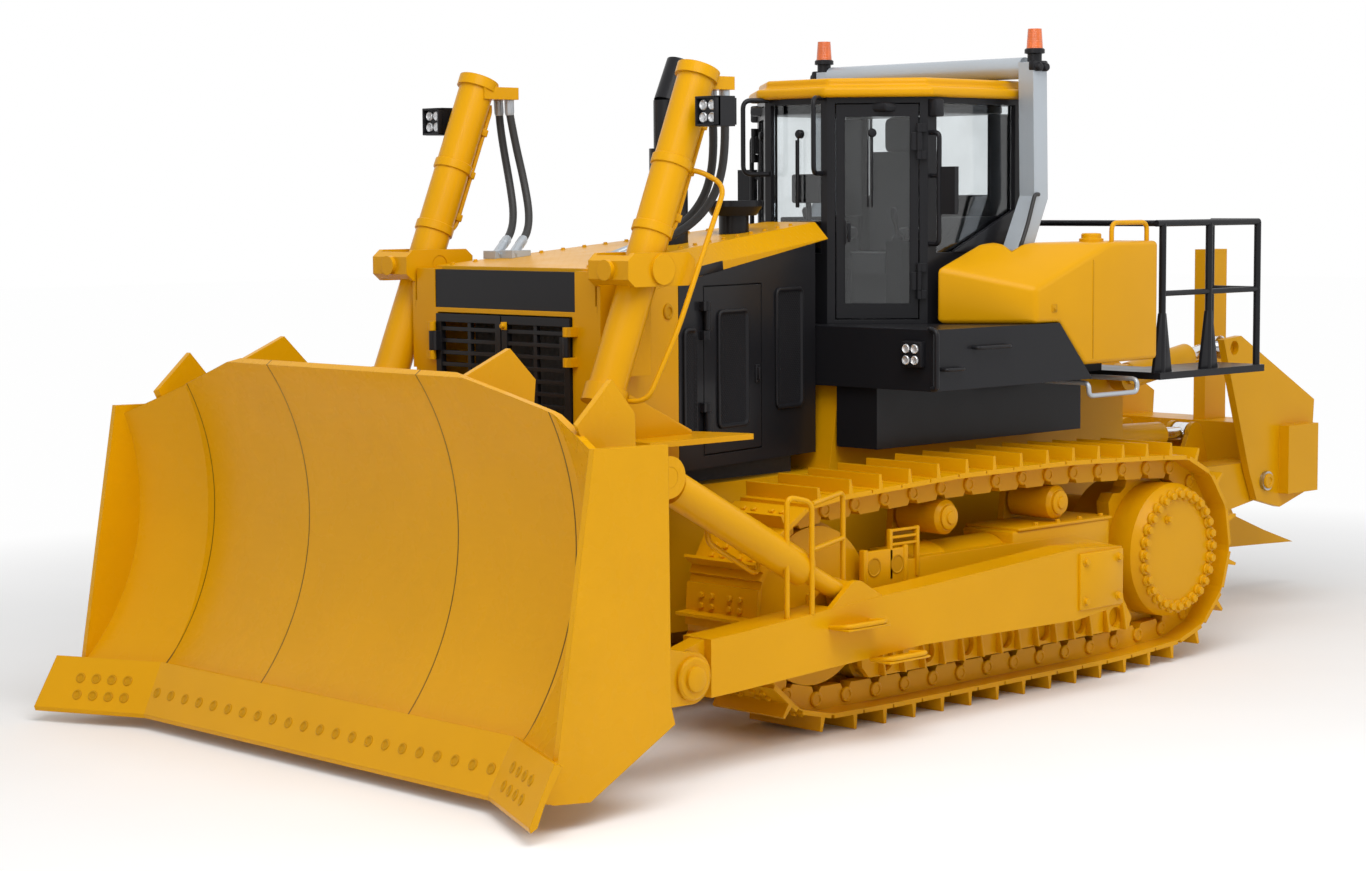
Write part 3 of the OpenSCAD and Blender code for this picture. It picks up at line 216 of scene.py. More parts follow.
def rounded_path(points, bend, steps=6):
    """A line through the points with its corners rounded"""
    path = [points[0]]
    for a, b, c in zip(points, points[1:], points[2:]):
        back, on = (a - b), (c - b)
        reach = min(bend, back.length / 2, on.length / 2)
        start, end = b + back.normalized() * reach, b + on.normalized() * reach
        for i in range(steps + 1):
            t = i / steps
            path.append(start * (1 - t) ** 2 + b * 2 * t * (1 - t) + end * t ** 2)
    return path + [points[-1]]


def tube(name, points, radius, bend=0.08):
    """A bent tube with closed ends, as a mesh"""
    line = bpy.data.curves.new(name, "CURVE")
    line.dimensions = "3D"
    line.bevel_depth = radius
    line.bevel_resolution = 4
    line.use_fill_caps = True
    path = rounded_path(points, bend)
    spline = line.splines.new("POLY")
    spline.points.add(len(path) - 1)
    for point, place in zip(spline.points, path):
        point.co = (*place, 1)
    piece = bpy.data.objects.new(name, line)
    bpy.context.scene.collection.objects.link(piece)
    take(piece)
    bpy.ops.object.convert(target="MESH")
    piece = bpy.context.object
    bpy.ops.object.shade_smooth_by_angle(angle=SMOOTH)
    return piece


def joined(name, pieces):
    """Several pieces as one"""
    deselect()
    for piece in pieces:
        piece.select_set(True)
    bpy.context.view_layer.objects.active = pieces[0]
    if len(pieces) > 1:
        bpy.ops.object.join()
    whole = bpy.context.object
    whole.name = name
    return whole


def repeated(name, model, places):
    """Copies of one modelled piece at each place, each with its own mesh, joined into one piece"""
    copies = []
    for place in places:
        copy = model.copy()
        copy.data = model.data.copy()
        bpy.context.scene.collection.objects.link(copy)
        copies.append(settle(copy, place))
    bpy.data.objects.remove(model)
    return joined(name, copies)


def at(x, y, z):
    """The place of an unturned piece, in millimetres"""
    return Matrix.Translation(spot(x, y, z))


def aim(point, normal, spin=0.0):
    """The place of a piece that stands on a point, its height along the normal"""
    turn = Vector(normal).to_track_quat("Z", "Y").to_matrix().to_4x4()
    return Matrix.Translation(point) @ turn @ Matrix.Rotation(spin, 4, "Z")


def upon(node, start, towards, sink=0.0, spin=0.0):
    """The place on a node's surface that a line from a start point meets"""
    hit, point, normal, _ = frame["nodes"][node].ray_cast(start, Vector(towards).normalized())
    if not hit:
        raise RuntimeError(f"no surface of {node} from {tuple(start)} towards {tuple(towards)}")
    return aim(point - normal * sink, normal, spin)


def flank(node, s, x, z, out=BESIDE, sink=0.0, spin=0.0):
    """The place on a node's outer side, at a length and a height in millimetres"""
    return upon(node, spot(x, s * out, z), (0, -s, 0), sink, spin)


def upright(place, drop=0.0):
    """The same place with its first axis level along the surface, or dropping to the front"""
    normal = place.to_3x3() @ UP
    level = UP.cross(normal).normalized()
    along = (level - UP * math.copysign(drop, level.x)).normalized()
    turn = Matrix((along, normal.cross(along), normal)).transposed().to_4x4()
    return Matrix.Translation(place.translation) @ turn


def layers(place, *blocks):
    """Rounded blocks on one place, from the size, the rounding and the middle of each"""
    return [block("layer", size, rounded, place @ Matrix.Translation(middle))
            for size, rounded, middle in blocks]


def choose(piece, test):
    """Opens a piece for editing, with the corners selected that a test chooses"""
    take(piece)
    bpy.ops.object.mode_set(mode="EDIT")
    bpy.ops.mesh.select_all(action="DESELECT")
    bpy.ops.object.mode_set(mode="OBJECT")
    for corner in piece.data.vertices:
        corner.select = test(corner.co)
    bpy.ops.object.mode_set(mode="EDIT")


def shift(piece, test, by):
    """Moves the corners of a piece that a test chooses"""
    choose(piece, test)
    bpy.ops.transform.translate(value=by)
    bpy.ops.object.mode_set(mode="OBJECT")


def bolt(name, across, height):
    """A hexagon bolt head on its washer"""
    deselect()
    bpy.ops.mesh.primitive_cylinder_add(vertices=6, radius=across / math.sqrt(3), depth=height,
                                        location=(0, 0, height * 0.6))
    head = settle(bpy.context.object)
    soften(head, across * 0.05, 1)
    washer = turned("washer", [(across * 0.78, -height * 0.1), (across * 0.78, height * 0.2),
                               (across * 0.6, height * 0.26)], 12)
    return joined(name, [head, washer])


def dress(piece, body, slot, finish=None):
    """Gives a piece its finish and the body that it rides on"""
    piece.data.materials.clear()
    piece.data.materials.append(bpy.data.materials[finish or slot])
    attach(piece, body)
    return piece


def lamp_cells(name, point, radius, body):
    """Four bright cells on the front of a lamp"""
    apart = (-0.037, 0.037)
    places = [aim(point + Vector((0, y, z)), (1, 0, 0)) for y in apart for z in apart]
    cell = turned("cell", [(radius, -0.002), (radius, 0.008), (radius - 0.004, 0.012),
                           (0.02, 0.006), (0.009, 0.004)], 20)
    dress(repeated(name, cell, places), body, "silver_paint", "lamp_lens")


class Finish:
    """A material under construction, with helpers for its nodes"""

    def __init__(self, name):
        plain = bpy.data.materials.get(name)
        if plain:
            bpy.data.materials.remove(plain)
        self.material = bpy.data.materials.new(name)
        self.material.use_nodes = True
        self.nodes = self.material.node_tree.nodes
        self.links = self.material.node_tree.links
        self.shader = self.nodes["Principled BSDF"]
        self.place = self.nodes.new("ShaderNodeTexCoord").outputs["Object"]

    def feed(self, socket, value):
        """Links a socket to another one, or gives it a plain value"""
        if isinstance(value, bpy.types.NodeSocket):
            self.links.new(value, socket)
        else:
            socket.default_value = value

    def add(self, kind, **values):
        node = self.nodes.new(f"ShaderNode{kind}")
        for name, value in values.items():
            self.feed(node.inputs[name.replace("_", " ")], value)
        return node

    def set(self, **values):
        for name, value in values.items():
            self.feed(self.shader.inputs[name.replace("_", " ")], value)

    def noise(self, scale, detail=3.0, stretch=(1, 1, 1)):
        mapping = self.add("Mapping", Scale=stretch, Vector=self.place)
        texture = self.add("TexNoise", Scale=scale, Detail=detail, Vector=mapping.outputs["Vector"])
        return texture.outputs["Fac"]

    def axes(self):
        return self.add("SeparateXYZ", Vector=self.place).outputs

    def math(self, operation, *values):
        node = self.add("Math")
        node.operation = operation
        for socket, value in zip(node.inputs, values):
            self.feed(socket, value)
        return node.outputs[0]

    def wave(self, axis, pitch):
        return self.math("SINE", self.math("MULTIPLY", self.axes()[axis], 2 * math.pi / pitch))

    def dimples(self, first, second, pitch):
        return self.math("MULTIPLY", self.wave(first, pitch), self.wave(second, pitch))

    def span(self, value, low, high, start=0.35, end=0.65):
        node = self.add("MapRange", Value=value, From_Min=start, From_Max=end, To_Min=low, To_Max=high)
        return node.outputs["Result"]

    def mix(self, factor, first, second):
        node = self.add("Mix")
        node.data_type = "RGBA"
        self.feed(node.inputs["Factor"], factor)
        for socket, colour in zip(node.inputs[6:8], (first, second)):
            self.feed(socket, colour if isinstance(colour, bpy.types.NodeSocket) else (*colour, 1))
        return node.outputs[2]

    def blend(self, grain, dark, light, smooth, dull):
        """Colour and roughness that follow one grain"""
        self.set(Base_Color=self.mix(self.span(grain, 0, 1), dark, light),
                 Roughness=self.span(grain, smooth, dull))

    def bump(self, height, strength, distance, edge=0.0):
        node = self.add("Bump", Strength=strength, Distance=distance, Height=height)
        if edge:
            bevel = self.add("Bevel", Radius=edge)
            bevel.samples = 4
            self.feed(node.inputs["Normal"], bevel.outputs["Normal"])
        self.set(Normal=node.outputs["Normal"])


def shade(colour, by):
    return tuple(min(1.0, c * by) for c in colour)


def paint(name, colour, roughness, coat, edge=0.006):
    """Sprayed paint: slight clouds of tint, fine orange peel and a clear coat"""
    f = Finish(name)
    f.set(Base_Color=f.mix(f.span(f.noise(1.4), 0, 1), shade(colour, 0.975), shade(colour, 1.02)),
          Roughness=f.span(f.noise(6.0), roughness - 0.02, roughness + 0.03),
          Coat_Weight=coat, Coat_Roughness=0.12, Specular_IOR_Level=0.12)
    f.bump(f.noise(420.0, 1.0), 0.08, 0.0006, edge)
    return f


def metal(name, colour, roughness, scale, stretch=(1, 1, 1), metallic=1.0):
    """Bare or plated metal with a drawn grain"""
    f = Finish(name)
    f.set(Metallic=metallic)
    grain = f.noise(scale, 4.0, stretch)
    f.blend(grain, shade(colour, 0.9), colour, roughness - 0.05, roughness + 0.1)
    f.bump(grain, 0.1, 0.0005)
    return f


def make_finishes(c):
    paint("yellow_paint", c.yellow, 0.31, 0.04)
    # A darker yellow: painted shade in the recesses of bolt cups, ports and holes, and the dark colour of the
    # tank seams and locks
    paint("seam_and_recess_shade_paint", shade(c.yellow, 0.78), 0.45, 0.04)
    paint("black_paint", c.black, 0.34, 0.1)
    paint("silver_paint", c.silver, 0.33, 0.2).set(Metallic=0.35)
    metal("chrome_rod", (0.78, 0.79, 0.8), 0.14, 40.0, (1, 1, 0.05))
    metal("pin_steel", (0.5, 0.5, 0.5), 0.32, 60.0)
    metal("engine_iron", (0.03, 0.03, 0.032), 0.6, 30.0, metallic=0.2)

    # Weld seams show only on the front of the blade
    blade = paint("blade_paint", c.yellow, 0.27, 0.06)
    across = blade.math("ABSOLUTE", blade.axes()["Y"])
    seams = blade.math("ADD", *(blade.math("COMPARE", across, y, 0.0045) for y in (0.719, 1.737)))
    normal = blade.add("SeparateXYZ", Vector=blade.add("NewGeometry").outputs["Normal"])
    seams = blade.math("MULTIPLY", seams, blade.math("GREATER_THAN", normal.outputs["X"], 0.25))
    face = blade.shader.inputs["Base Color"].links[0].from_socket
    blade.set(Base_Color=blade.mix(seams, face, shade(c.yellow, 0.12)))

    hood = paint("hood_paint", c.yellow, 0.31, 0.04)
    hood.bump(hood.span(hood.dimples("X", "Y", 0.07), 0, 1, 0.55, 0.8), 0.35, 0.003, 0.006)

    mesh = paint("panel_mesh", c.black, 0.5, 0.0, 0.0)
    mesh.bump(mesh.span(mesh.dimples("X", "Z", 0.024), 0, 1, -0.1, 0.3), 0.9, 0.004)

    glass = Finish("cab_glass")
    glass.set(Transmission_Weight=1.0, IOR=1.46)
    glass.blend(glass.noise(2.5), shade(c.glass, 0.92), c.glass, 0.0, 0.03)
    glass.bump(glass.noise(3.0, 1.0), 0.02, 0.001)

    rubber = Finish("hose_rubber")
    weave = rubber.noise(160.0, 2.0)
    rubber.blend(weave, c.rubber, shade(c.rubber, 1.9), 0.5, 0.68)
    rubber.bump(weave, 0.25, 0.001)

    lens = Finish("amber_lens")
    lens.set(Coat_Weight=0.6, Roughness=lens.span(lens.noise(30.0), 0.12, 0.25),
             Base_Color=lens.mix(lens.span(lens.noise(12.0), 0, 1), shade(c.amber, 0.8), c.amber))
    lens.bump(lens.wave("Z", 0.012), 0.3, 0.002)

    lamp = Finish("lamp_lens")
    lamp.set(Coat_Weight=0.8, Metallic=0.3)
    cells = lamp.noise(55.0)
    lamp.blend(cells, (0.35, 0.36, 0.37), (0.75, 0.76, 0.78), 0.08, 0.2)
    lamp.bump(cells, 0.3, 0.002)

    cloth = Finish("seat_fabric")
    cloth.set(Sheen_Weight=0.3)
    threads = cloth.noise(380.0, 2.0)
    cloth.blend(threads, (0.02, 0.02, 0.022), (0.05, 0.05, 0.055), 0.75, 0.95)
    cloth.bump(threads, 0.5, 0.001)

    core = Finish("radiator_core")
    fins = core.wave("Y", 0.012)
    # Darker stripes between the fins: painted shade in the gaps of the core
    core.set(Base_Color=core.mix(core.span(fins, 0, 1, -1, 1), (0.015, 0.015, 0.015), (0.06, 0.06, 0.06)),
             Roughness=core.span(core.noise(20.0), 0.5, 0.7))
    core.bump(fins, 0.6, 0.003)


def seen_rays(tree):
    """A socket that is 1 for what the camera sees, also in metal and through glass"""
    path = tree.nodes.new("ShaderNodeLightPath")
    seen = path.outputs["Is Camera Ray"]
    for name in ("Is Glossy Ray", "Is Transmission Ray"):
        either = tree.nodes.new("ShaderNodeMath")
        either.operation = "MAXIMUM"
        tree.links.new(seen, either.inputs[0])
        tree.links.new(path.outputs[name], either.inputs[1])
        seen = either.outputs[0]
    return seen


class BULLDOZER_OT_stage(bpy.types.Operator):
    """Sets the camera, the pale floor and the soft light"""
    bl_idname = "bulldozer.stage"
    bl_label = "Studio"

    def execute(self, context):
        s = context.scene.bulldozer_studio
        self.camera(context.scene, s)
        context.scene.view_settings.view_transform = "Standard"
        deselect()
        bpy.ops.mesh.primitive_plane_add(size=160)
        floor = context.object
        floor.name = "floor"
        floor.data.materials.append(self.floor_finish())
        self.light("key_light", (5, 7, 13), (0, 0, 1), 11, s.key)
        self.light("fill_light", (15, 5, 7), (1, 0, 1.5), 8, s.fill)
        self.light("side_light", (-8, 14, 8), (-1, 0, 2), 8, s.fill * 0.7)
        self.sky(context.scene, s.sky)
        return {"FINISHED"}

    def camera(self, scene, s):
        level = math.cos(s.pitch)
        ahead = Vector((math.cos(s.yaw) * level, math.sin(s.yaw) * level, math.sin(s.pitch)))
        right = Vector((math.sin(s.yaw), -math.cos(s.yaw), 0))
        up = right.cross(ahead)
        right, up = (right * math.cos(s.roll) + up * math.sin(s.roll),
                     up * math.cos(s.roll) - right * math.sin(s.roll))
        data = bpy.data.cameras.new("photo_camera")
        data.sensor_fit = "HORIZONTAL"
        data.sensor_width = 36
        data.lens = s.lens
        data.clip_end = 300
        camera = bpy.data.objects.new("photo_camera", data)
        scene.collection.objects.link(camera)
        camera.matrix_world = Matrix.Translation(s.eye) @ Matrix((right, up, -ahead)).transposed().to_4x4()
        scene.camera = camera

    def floor_finish(self):
        """Pale grey near the machine, where its shadow falls, and white far off"""
        f = Finish("pale_floor")
        f.set(Base_Color=f.mix(f.span(f.noise(0.3), 0, 1), (0.88, 0.88, 0.88), (0.91, 0.91, 0.91)),
              Roughness=f.span(f.noise(2.0), 0.85, 0.95))
        f.bump(f.noise(30.0), 0.02, 0.001)
        where = f.axes()
        reach = f.math("SQRT", f.math("ADD", *(f.math("POWER", where[axis], 2) for axis in "XY")))
        far = f.math("SMOOTH_MIN", f.span(reach, 0.0, 1.0, 6.0, 11.0), 1.0, 0.1)
        white = f.add("Emission")
        blend = f.add("MixShader", Fac=f.math("MULTIPLY", far, seen_rays(f.material.node_tree)))
        f.links.new(f.shader.outputs["BSDF"], blend.inputs[1])
        f.links.new(white.outputs["Emission"], blend.inputs[2])
        f.links.new(blend.outputs["Shader"], f.nodes["Material Output"].inputs["Surface"])
        return f.material

    def light(self, name, place, towards, size, power):
        data = bpy.data.lights.new(name, "AREA")
        data.size = size
        data.energy = power
        lamp = bpy.data.objects.new(name, data)
        bpy.context.scene.collection.objects.link(lamp)
        lamp.matrix_world = aim(Vector(place), Vector(place) - Vector(towards))

    def sky(self, scene, strength):
        scene.world = bpy.data.worlds.new("studio")
        scene.world.use_nodes = True
        tree = scene.world.node_tree
        level = tree.nodes.new("ShaderNodeMapRange")
        level.inputs["To Min"].default_value = strength
        level.inputs["To Max"].default_value = 1.0
        background = tree.nodes["Background"]
        background.inputs["Color"].default_value = (1, 1, 1, 1)
        tree.links.new(seen_rays(tree), level.inputs["Value"])
        tree.links.new(level.outputs["Result"], background.inputs["Strength"])


class BULLDOZER_OT_hoses(bpy.types.Operator):
    """Lays the four lift hoses from the barrels to the hood, with a ferrule at each end"""
    bl_idname = "bulldozer.hoses"
    bl_label = "Lift hoses"

    routes = {
        "outer": ((400, 1060, 3973), (396, 1059, 3900), (388, 1052, 3780), (376, 1036, 3640),
                  (370, 1008, 3500), (380, 966, 3370), (412, 910, 3260), (468, 848, 3172),
                  (540, 786, 3108), (620, 728, 3062), (700, 676, 3026)),
        "inner": ((400, 950, 3973), (398, 950, 3900), (380, 940, 3780), (360, 922, 3640),
                  (346, 892, 3500), (350, 850, 3370), (378, 794, 3260), (430, 732, 3172),
                  (500, 670, 3108), (580, 612, 3062), (660, 560, 3026)),
    }

    def execute(self, context):
        r = context.scene.bulldozer_sizes.hose_radius
        sleeve = [(r + 0.003, -0.004), (r + 0.006, 0.0), (r + 0.006, 0.08), (r + 0.001, 0.1)]
        for side, s in SIDES:
            for name, knots in self.routes.items():
                path = self.smooth(route(s, *reversed(knots)), 3)
                hose = tube(f"lift_hose_{side}_{name}", path, r, 0.0)
                dress_hose(hose, f"hose_{side}_{name}")
                for end, start, onward, body in (("hood", path[0], path[3], "tractor"),
                                                 ("barrel", path[-1], path[-4], "lift_barrels")):
                    place = aim(start, onward - start)
                    ferrule = turned(f"hose_{end}_ferrule_{side}_{name}", sleeve, 24, place)
                    dress(ferrule, body, "silver_paint")
        return {"FINISHED"}

    def smooth(self, knots, steps):
        """A curve through the knots, with even steps between them"""
        line = [knots[0] * 2 - knots[1]] + knots + [knots[-1] * 2 - knots[-2]]
        path = []
        for a, b, c, d in zip(line, line[1:], line[2:], line[3:]):
            for i in range(steps):
                t = i / steps
                path.append(0.5 * (2 * b + (c - a) * t + (2 * a - 5 * b + 4 * c - d) * t ** 2
                                   + (3 * b - a - 3 * c + d) * t ** 3))
        return path + [knots[-1]]


def dress_hose(hose, node):
    """Gives a lift hose, which runs between the hood and its swinging barrel, its rubber finish, hides the
    part that it replaces and puts its place into its mesh
    """
    hose.data.materials.append(bpy.data.materials["hose_rubber"])
    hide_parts(node)
    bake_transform(hose)


class BULLDOZER_OT_finishes(bpy.types.Operator):
    """Makes the finishes and gives every node of the frame its own"""
    bl_idname = "bulldozer.finishes"
    bl_label = "Finishes"

    special = {"blade": "blade_paint", "hood": "hood_paint", "tilt_rods": "yellow_paint"}

    def execute(self, context):
        make_finishes(context.scene.bulldozer_colours)
        slots = {part["node"]: part["material_slot"] for part in frame["record"]["subparts"]}
        for name, node in frame["nodes"].items():
            node.data.materials.clear()
            node.data.materials.append(bpy.data.materials[self.special.get(name, slots[name])])
        return {"FINISHED"}


class BULLDOZER_OT_rounded_bodies(bpy.types.Operator):
    """Rounds the corners of the pressed and welded bodies: tanks and roof"""
    bl_idname = "bulldozer.rounded_bodies"
    bl_label = "Rounded bodies"

    def execute(self, context):
        for node, width in (("tanks", 0.07), ("cab_roof", 0.025)):
            body = frame["nodes"][node].copy()
            body.data = body.data.copy()
            body.name = f"rounded_{node}"
            context.scene.collection.objects.link(body)
            take(body)
            bpy.ops.object.mode_set(mode="EDIT")
            bpy.ops.mesh.select_all(action="SELECT")
            bpy.ops.mesh.remove_doubles(threshold=0.00005)
            bpy.ops.mesh.dissolve_limited(angle_limit=math.radians(3))
            bpy.ops.object.mode_set(mode="OBJECT")
            soften(body, width, 5)
            dress(body, "tractor", "yellow_paint")
            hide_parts(node)
        return {"FINISHED"}


class BULLDOZER_OT_edge_bolts(bpy.types.Operator):
    """Sets the plough bolts in the cutting edge and its end bits"""
    bl_idname = "bulldozer.edge_bolts"
    bl_label = "Edge bolts"

    cup = ((0.034, -0.004), (0.034, 0.003), (0.029, 0.007), (0.023, 0.007), (0.019, 0.001), (0.012, 0.001))
    apart = 155

    def execute(self, context):
        count = context.scene.bulldozer_sizes.edge_bolts
        rows = [(self.apart * (i - (count - 1) / 2), 232) for i in range(count)]
        for _, s in SIDES:
            for z, offset in ((185, 0), (285, 25)):
                rows += [(s * (1850 + 105 * i + offset), z) for i in range(4)]
        places = [upon("cutting_edge", spot(4500, y, z), (-1, 0, 0)) for y, z in rows]
        bolts = repeated("edge_bolts", turned("cup", self.cup, 16), places)
        # The cups are darker yellow: painted shade in their recessed dish
        dress(bolts, "blade", "yellow_paint", "seam_and_recess_shade_paint")
        return {"FINISHED"}


class BULLDOZER_OT_drive_bolts(bpy.types.Operator):
    """Rings of bolts and plugs on the final drives, and caps on the carrier rollers"""
    bl_idname = "bulldozer.drive_bolts"
    bl_label = "Drive bolts"

    ring = 402
    boss = ((0.046, -0.004), (0.046, 0.012), (0.041, 0.016))
    plug = ((0.032, -0.004), (0.032, 0.01), (0.022, 0.012), (0.022, 0.03), (0.018, 0.034))
    cap = ((0.082, -0.004), (0.082, 0.014), (0.07, 0.022), (0.045, 0.022), (0.04, 0.034), (0.02, 0.036))

    def execute(self, context):
        count = context.scene.bulldozer_sizes.drive_bolts
        middle_x, middle_z, _ = SPROCKET
        places, plugs, caps = [], [], []
        for _, s in SIDES:
            for i in range(count):
                a = 2 * math.pi * i / count
                x, z = middle_x + self.ring * math.cos(a), middle_z + self.ring * math.sin(a)
                places.append(flank("final_drives", s, x, z, spin=a))
            plugs.append(flank("final_drives", s, middle_x + 120, middle_z + 230))
            caps += [flank("carrier_rollers", s, x, z) for x, z, _ in CARRIERS]
        boss = turned("boss", self.boss, 14)
        head = settle(bolt("head", 0.052, 0.026), Matrix.Translation((0, 0, 0.014)))
        for name, model, where in (("drive_bolts", joined("drive_bolt", [boss, head]), places),
                                   ("drive_plugs", turned("plug", self.plug, 20), plugs),
                                   ("carrier_caps", turned("cap", self.cap, 32), caps)):
            dress(repeated(name, model, where), "tractor", "yellow_paint")
        return {"FINISHED"}


class BULLDOZER_OT_hood_fixings(bpy.types.Operator):
    """Two rows of bolts along the hood, which narrows to the rear"""
    bl_idname = "bulldozer.hood_fixings"
    bl_label = "Hood fixings"

    def execute(self, context):
        places = []
        for x in range(1150, -1250, -160):
            half = 350 + 510 * (x + 1300) / 2585
            for y in (half - 190, -half + 190):
                places.append(upon("hood", spot(x, y, 4500), (0, 0, -1)))
        dress(repeated("hood_bolts", bolt("hood_bolt", 0.024, 0.012), places), "tractor", "yellow_paint")
        return {"FINISHED"}


def barrel_point(s, along, out, rear):
    """A point beside a lift barrel: along it from its trunnion, out and to its rear, in millimetres"""
    x, y, z = TRUNNION
    return spot(x - LEAN * along - RISE * rear, s * (y + out), z + RISE * along - LEAN * rear)


class BULLDOZER_OT_roof_trim(bpy.types.Operator):
    """Beacon bases, arch hoses, rail sockets, window sills, door lamps and hood bands"""
    bl_idname = "bulldozer.roof_trim"
    bl_label = "Roof and rail trim"

    base = ((0.05, -0.004), (0.05, 0.055), (0.07, 0.06), (0.07, 0.086), (0.062, 0.094))
    knob = ((0.03, -0.02), (0.03, 0.03), (0.024, 0.04), (0.01, 0.042))
    arch_x = -2715

    def execute(self, context):
        crossing = [spot(-3690, y, 3120) for y in (1340, 900, -900, -1340)]
        dress(tube("rail_crossing", crossing, 0.022, 0.02), "tractor", "black_paint")
        for side, s in SIDES:
            self.beacon_base(side, s)
            hose = route(s, (-2700, 1040, 3330), (-2640, 1056, 3330), (-2560, 1056, 3120),
                         (-2500, 1056, 3000), (-2500, 1034, 2960))
            dress(tube(f"arch_hose_{side}", hose, 0.014, 0.09), "tractor", "hose_rubber")
            sockets = [self.socket(x, s) for x in (-3740, -4310)]
            dress(joined(f"rail_sockets_{side}", sockets), "tractor", "black_paint")
            sill = box(f"window_sill_{side}", spot(-2742, s * 776, 2935), spot(-2080, s * 806, 3230), 0.004)
            shift(sill, lambda corner: corner.z > 3.1 and corner.x > spot(-2300, 0, 0).x, (0, 0, -0.28))
            lamp = block(f"door_lamp_{side}", (0.09, 0.07, 0.12), 0.014, at(-1850, s * 838, 3915))
            place = upright(flank("hood", s, 200, 2862), 0.12)
            band = block(f"hood_band_{side}", (0.5, 0.062, 0.008), 0.003, place)
            for piece in (lamp, sill, band):
                dress(piece, "tractor", "black_paint")
        return {"FINISHED"}

    def beacon_base(self, side, s):
        """A turned foot, and the clip that holds it to the arch with two knobs"""
        parts = [turned("base", self.base, 40, at(self.arch_x, s * 988, 4240)),
                 block("clip", (0.16, 0.05, 0.07), 0.012, at(self.arch_x, s * 1020, 4215))]
        for x in (-35, 35):
            place = aim(spot(self.arch_x + x, s * 1035, 4205), (0, s, 0))
            parts.append(turned("knob", self.knob, 20, place))
        dress(joined(f"beacon_base_{side}", parts), "tractor", "black_paint")

    def socket(self, x, s):
        """A plate at the foot of a rail, narrow at its top"""
        plate = box("socket", spot(x - 110, s * 1326, 2050), spot(x + 110, s * 1354, 2480), 0.006)
        choose(plate, lambda corner: corner.z > 2.3)
        bpy.ops.transform.resize(value=(0.32, 1, 1), center_override=spot(x, s * 1340, 2480))
        bpy.ops.object.mode_set(mode="OBJECT")
        return plate


class BULLDOZER_OT_barrel_lines(bpy.types.Operator):
    """Hard lines, clamps, bands and guard tubes on the lift barrels, and the rims and cells of their lamps"""
    bl_idname = "bulldozer.barrel_lines"
    bl_label = "Barrel lines"

    line = ((290, 116), (330, 136), (1010, 136), (1130, 136), (1170, 116))
    guard = ((680, 30, 100), (685, 110, 150), (640, 235, 255),
             (-300, 240, 200), (-770, 200, 160), (-800, 40, 95))
    band = ((0.113, -0.03), (0.122, -0.03), (0.126, -0.026), (0.126, 0.026), (0.122, 0.03), (0.113, 0.03),
            (0.113, -0.03))

    def execute(self, context):
        lean = Matrix.Rotation(math.atan2(-LEAN, RISE), 4, "Y")
        for side, s in SIDES:
            lines = []
            for out in (-32, 32):
                points = [barrel_point(s, along, out, rear) for along, rear in self.line]
                lines.append(tube("line", points, 0.015, 0.05))
            for along in (380, 680, 980):
                place = Matrix.Translation(barrel_point(s, along, 0, 130)) @ lean
                lines.append(block("pad", (0.05, 0.11, 0.05), 0.006, place))
            guard = tube("guard", [barrel_point(s, *point) for point in self.guard], 0.016, 0.12)
            bands = [turned("band", self.band, 48, aim(barrel_point(s, along, 0, 0), (-LEAN, 0, RISE)))
                     for along in (680, 250, -800)]
            for name, pieces in (("lines", lines), ("guard", [guard]), ("bands", bands)):
                dress(joined(f"barrel_{name}_{side}", pieces), "lift_barrels", "yellow_paint")
            self.lamp(side, s)
        return {"FINISHED"}

    def lamp(self, side, s):
        """A rim round the front of a lamp, fins on its back and its four cells"""
        start = barrel_point(s, 1010, 260, 0) + Vector((1, 0, 0))
        point = upon("lift_lamps", start, (-1, 0, 0)).translation
        bars = [((-0.02, y - 0.007, -0.088), (0.03, y + 0.007, 0.088), 0.004) for y in (-0.078, 0.078)]
        bars += [((-0.02, -0.085, z - 0.007), (0.03, 0.085, z + 0.007), 0.004) for z in (-0.082, 0.082)]
        bars += [((-0.175, y - 0.004, -0.08), (-0.13, y + 0.004, 0.08), 0.002)
                 for y in (-0.06, -0.03, 0, 0.03, 0.06)]
        rim = [box("bar", point + Vector(low), point + Vector(high), rounded) for low, high, rounded in bars]
        dress(joined(f"lamp_rim_{side}", rim), "lift_barrels", "black_paint")
        lamp_cells(f"lamp_cells_{side}", point, 0.031, "lift_barrels")


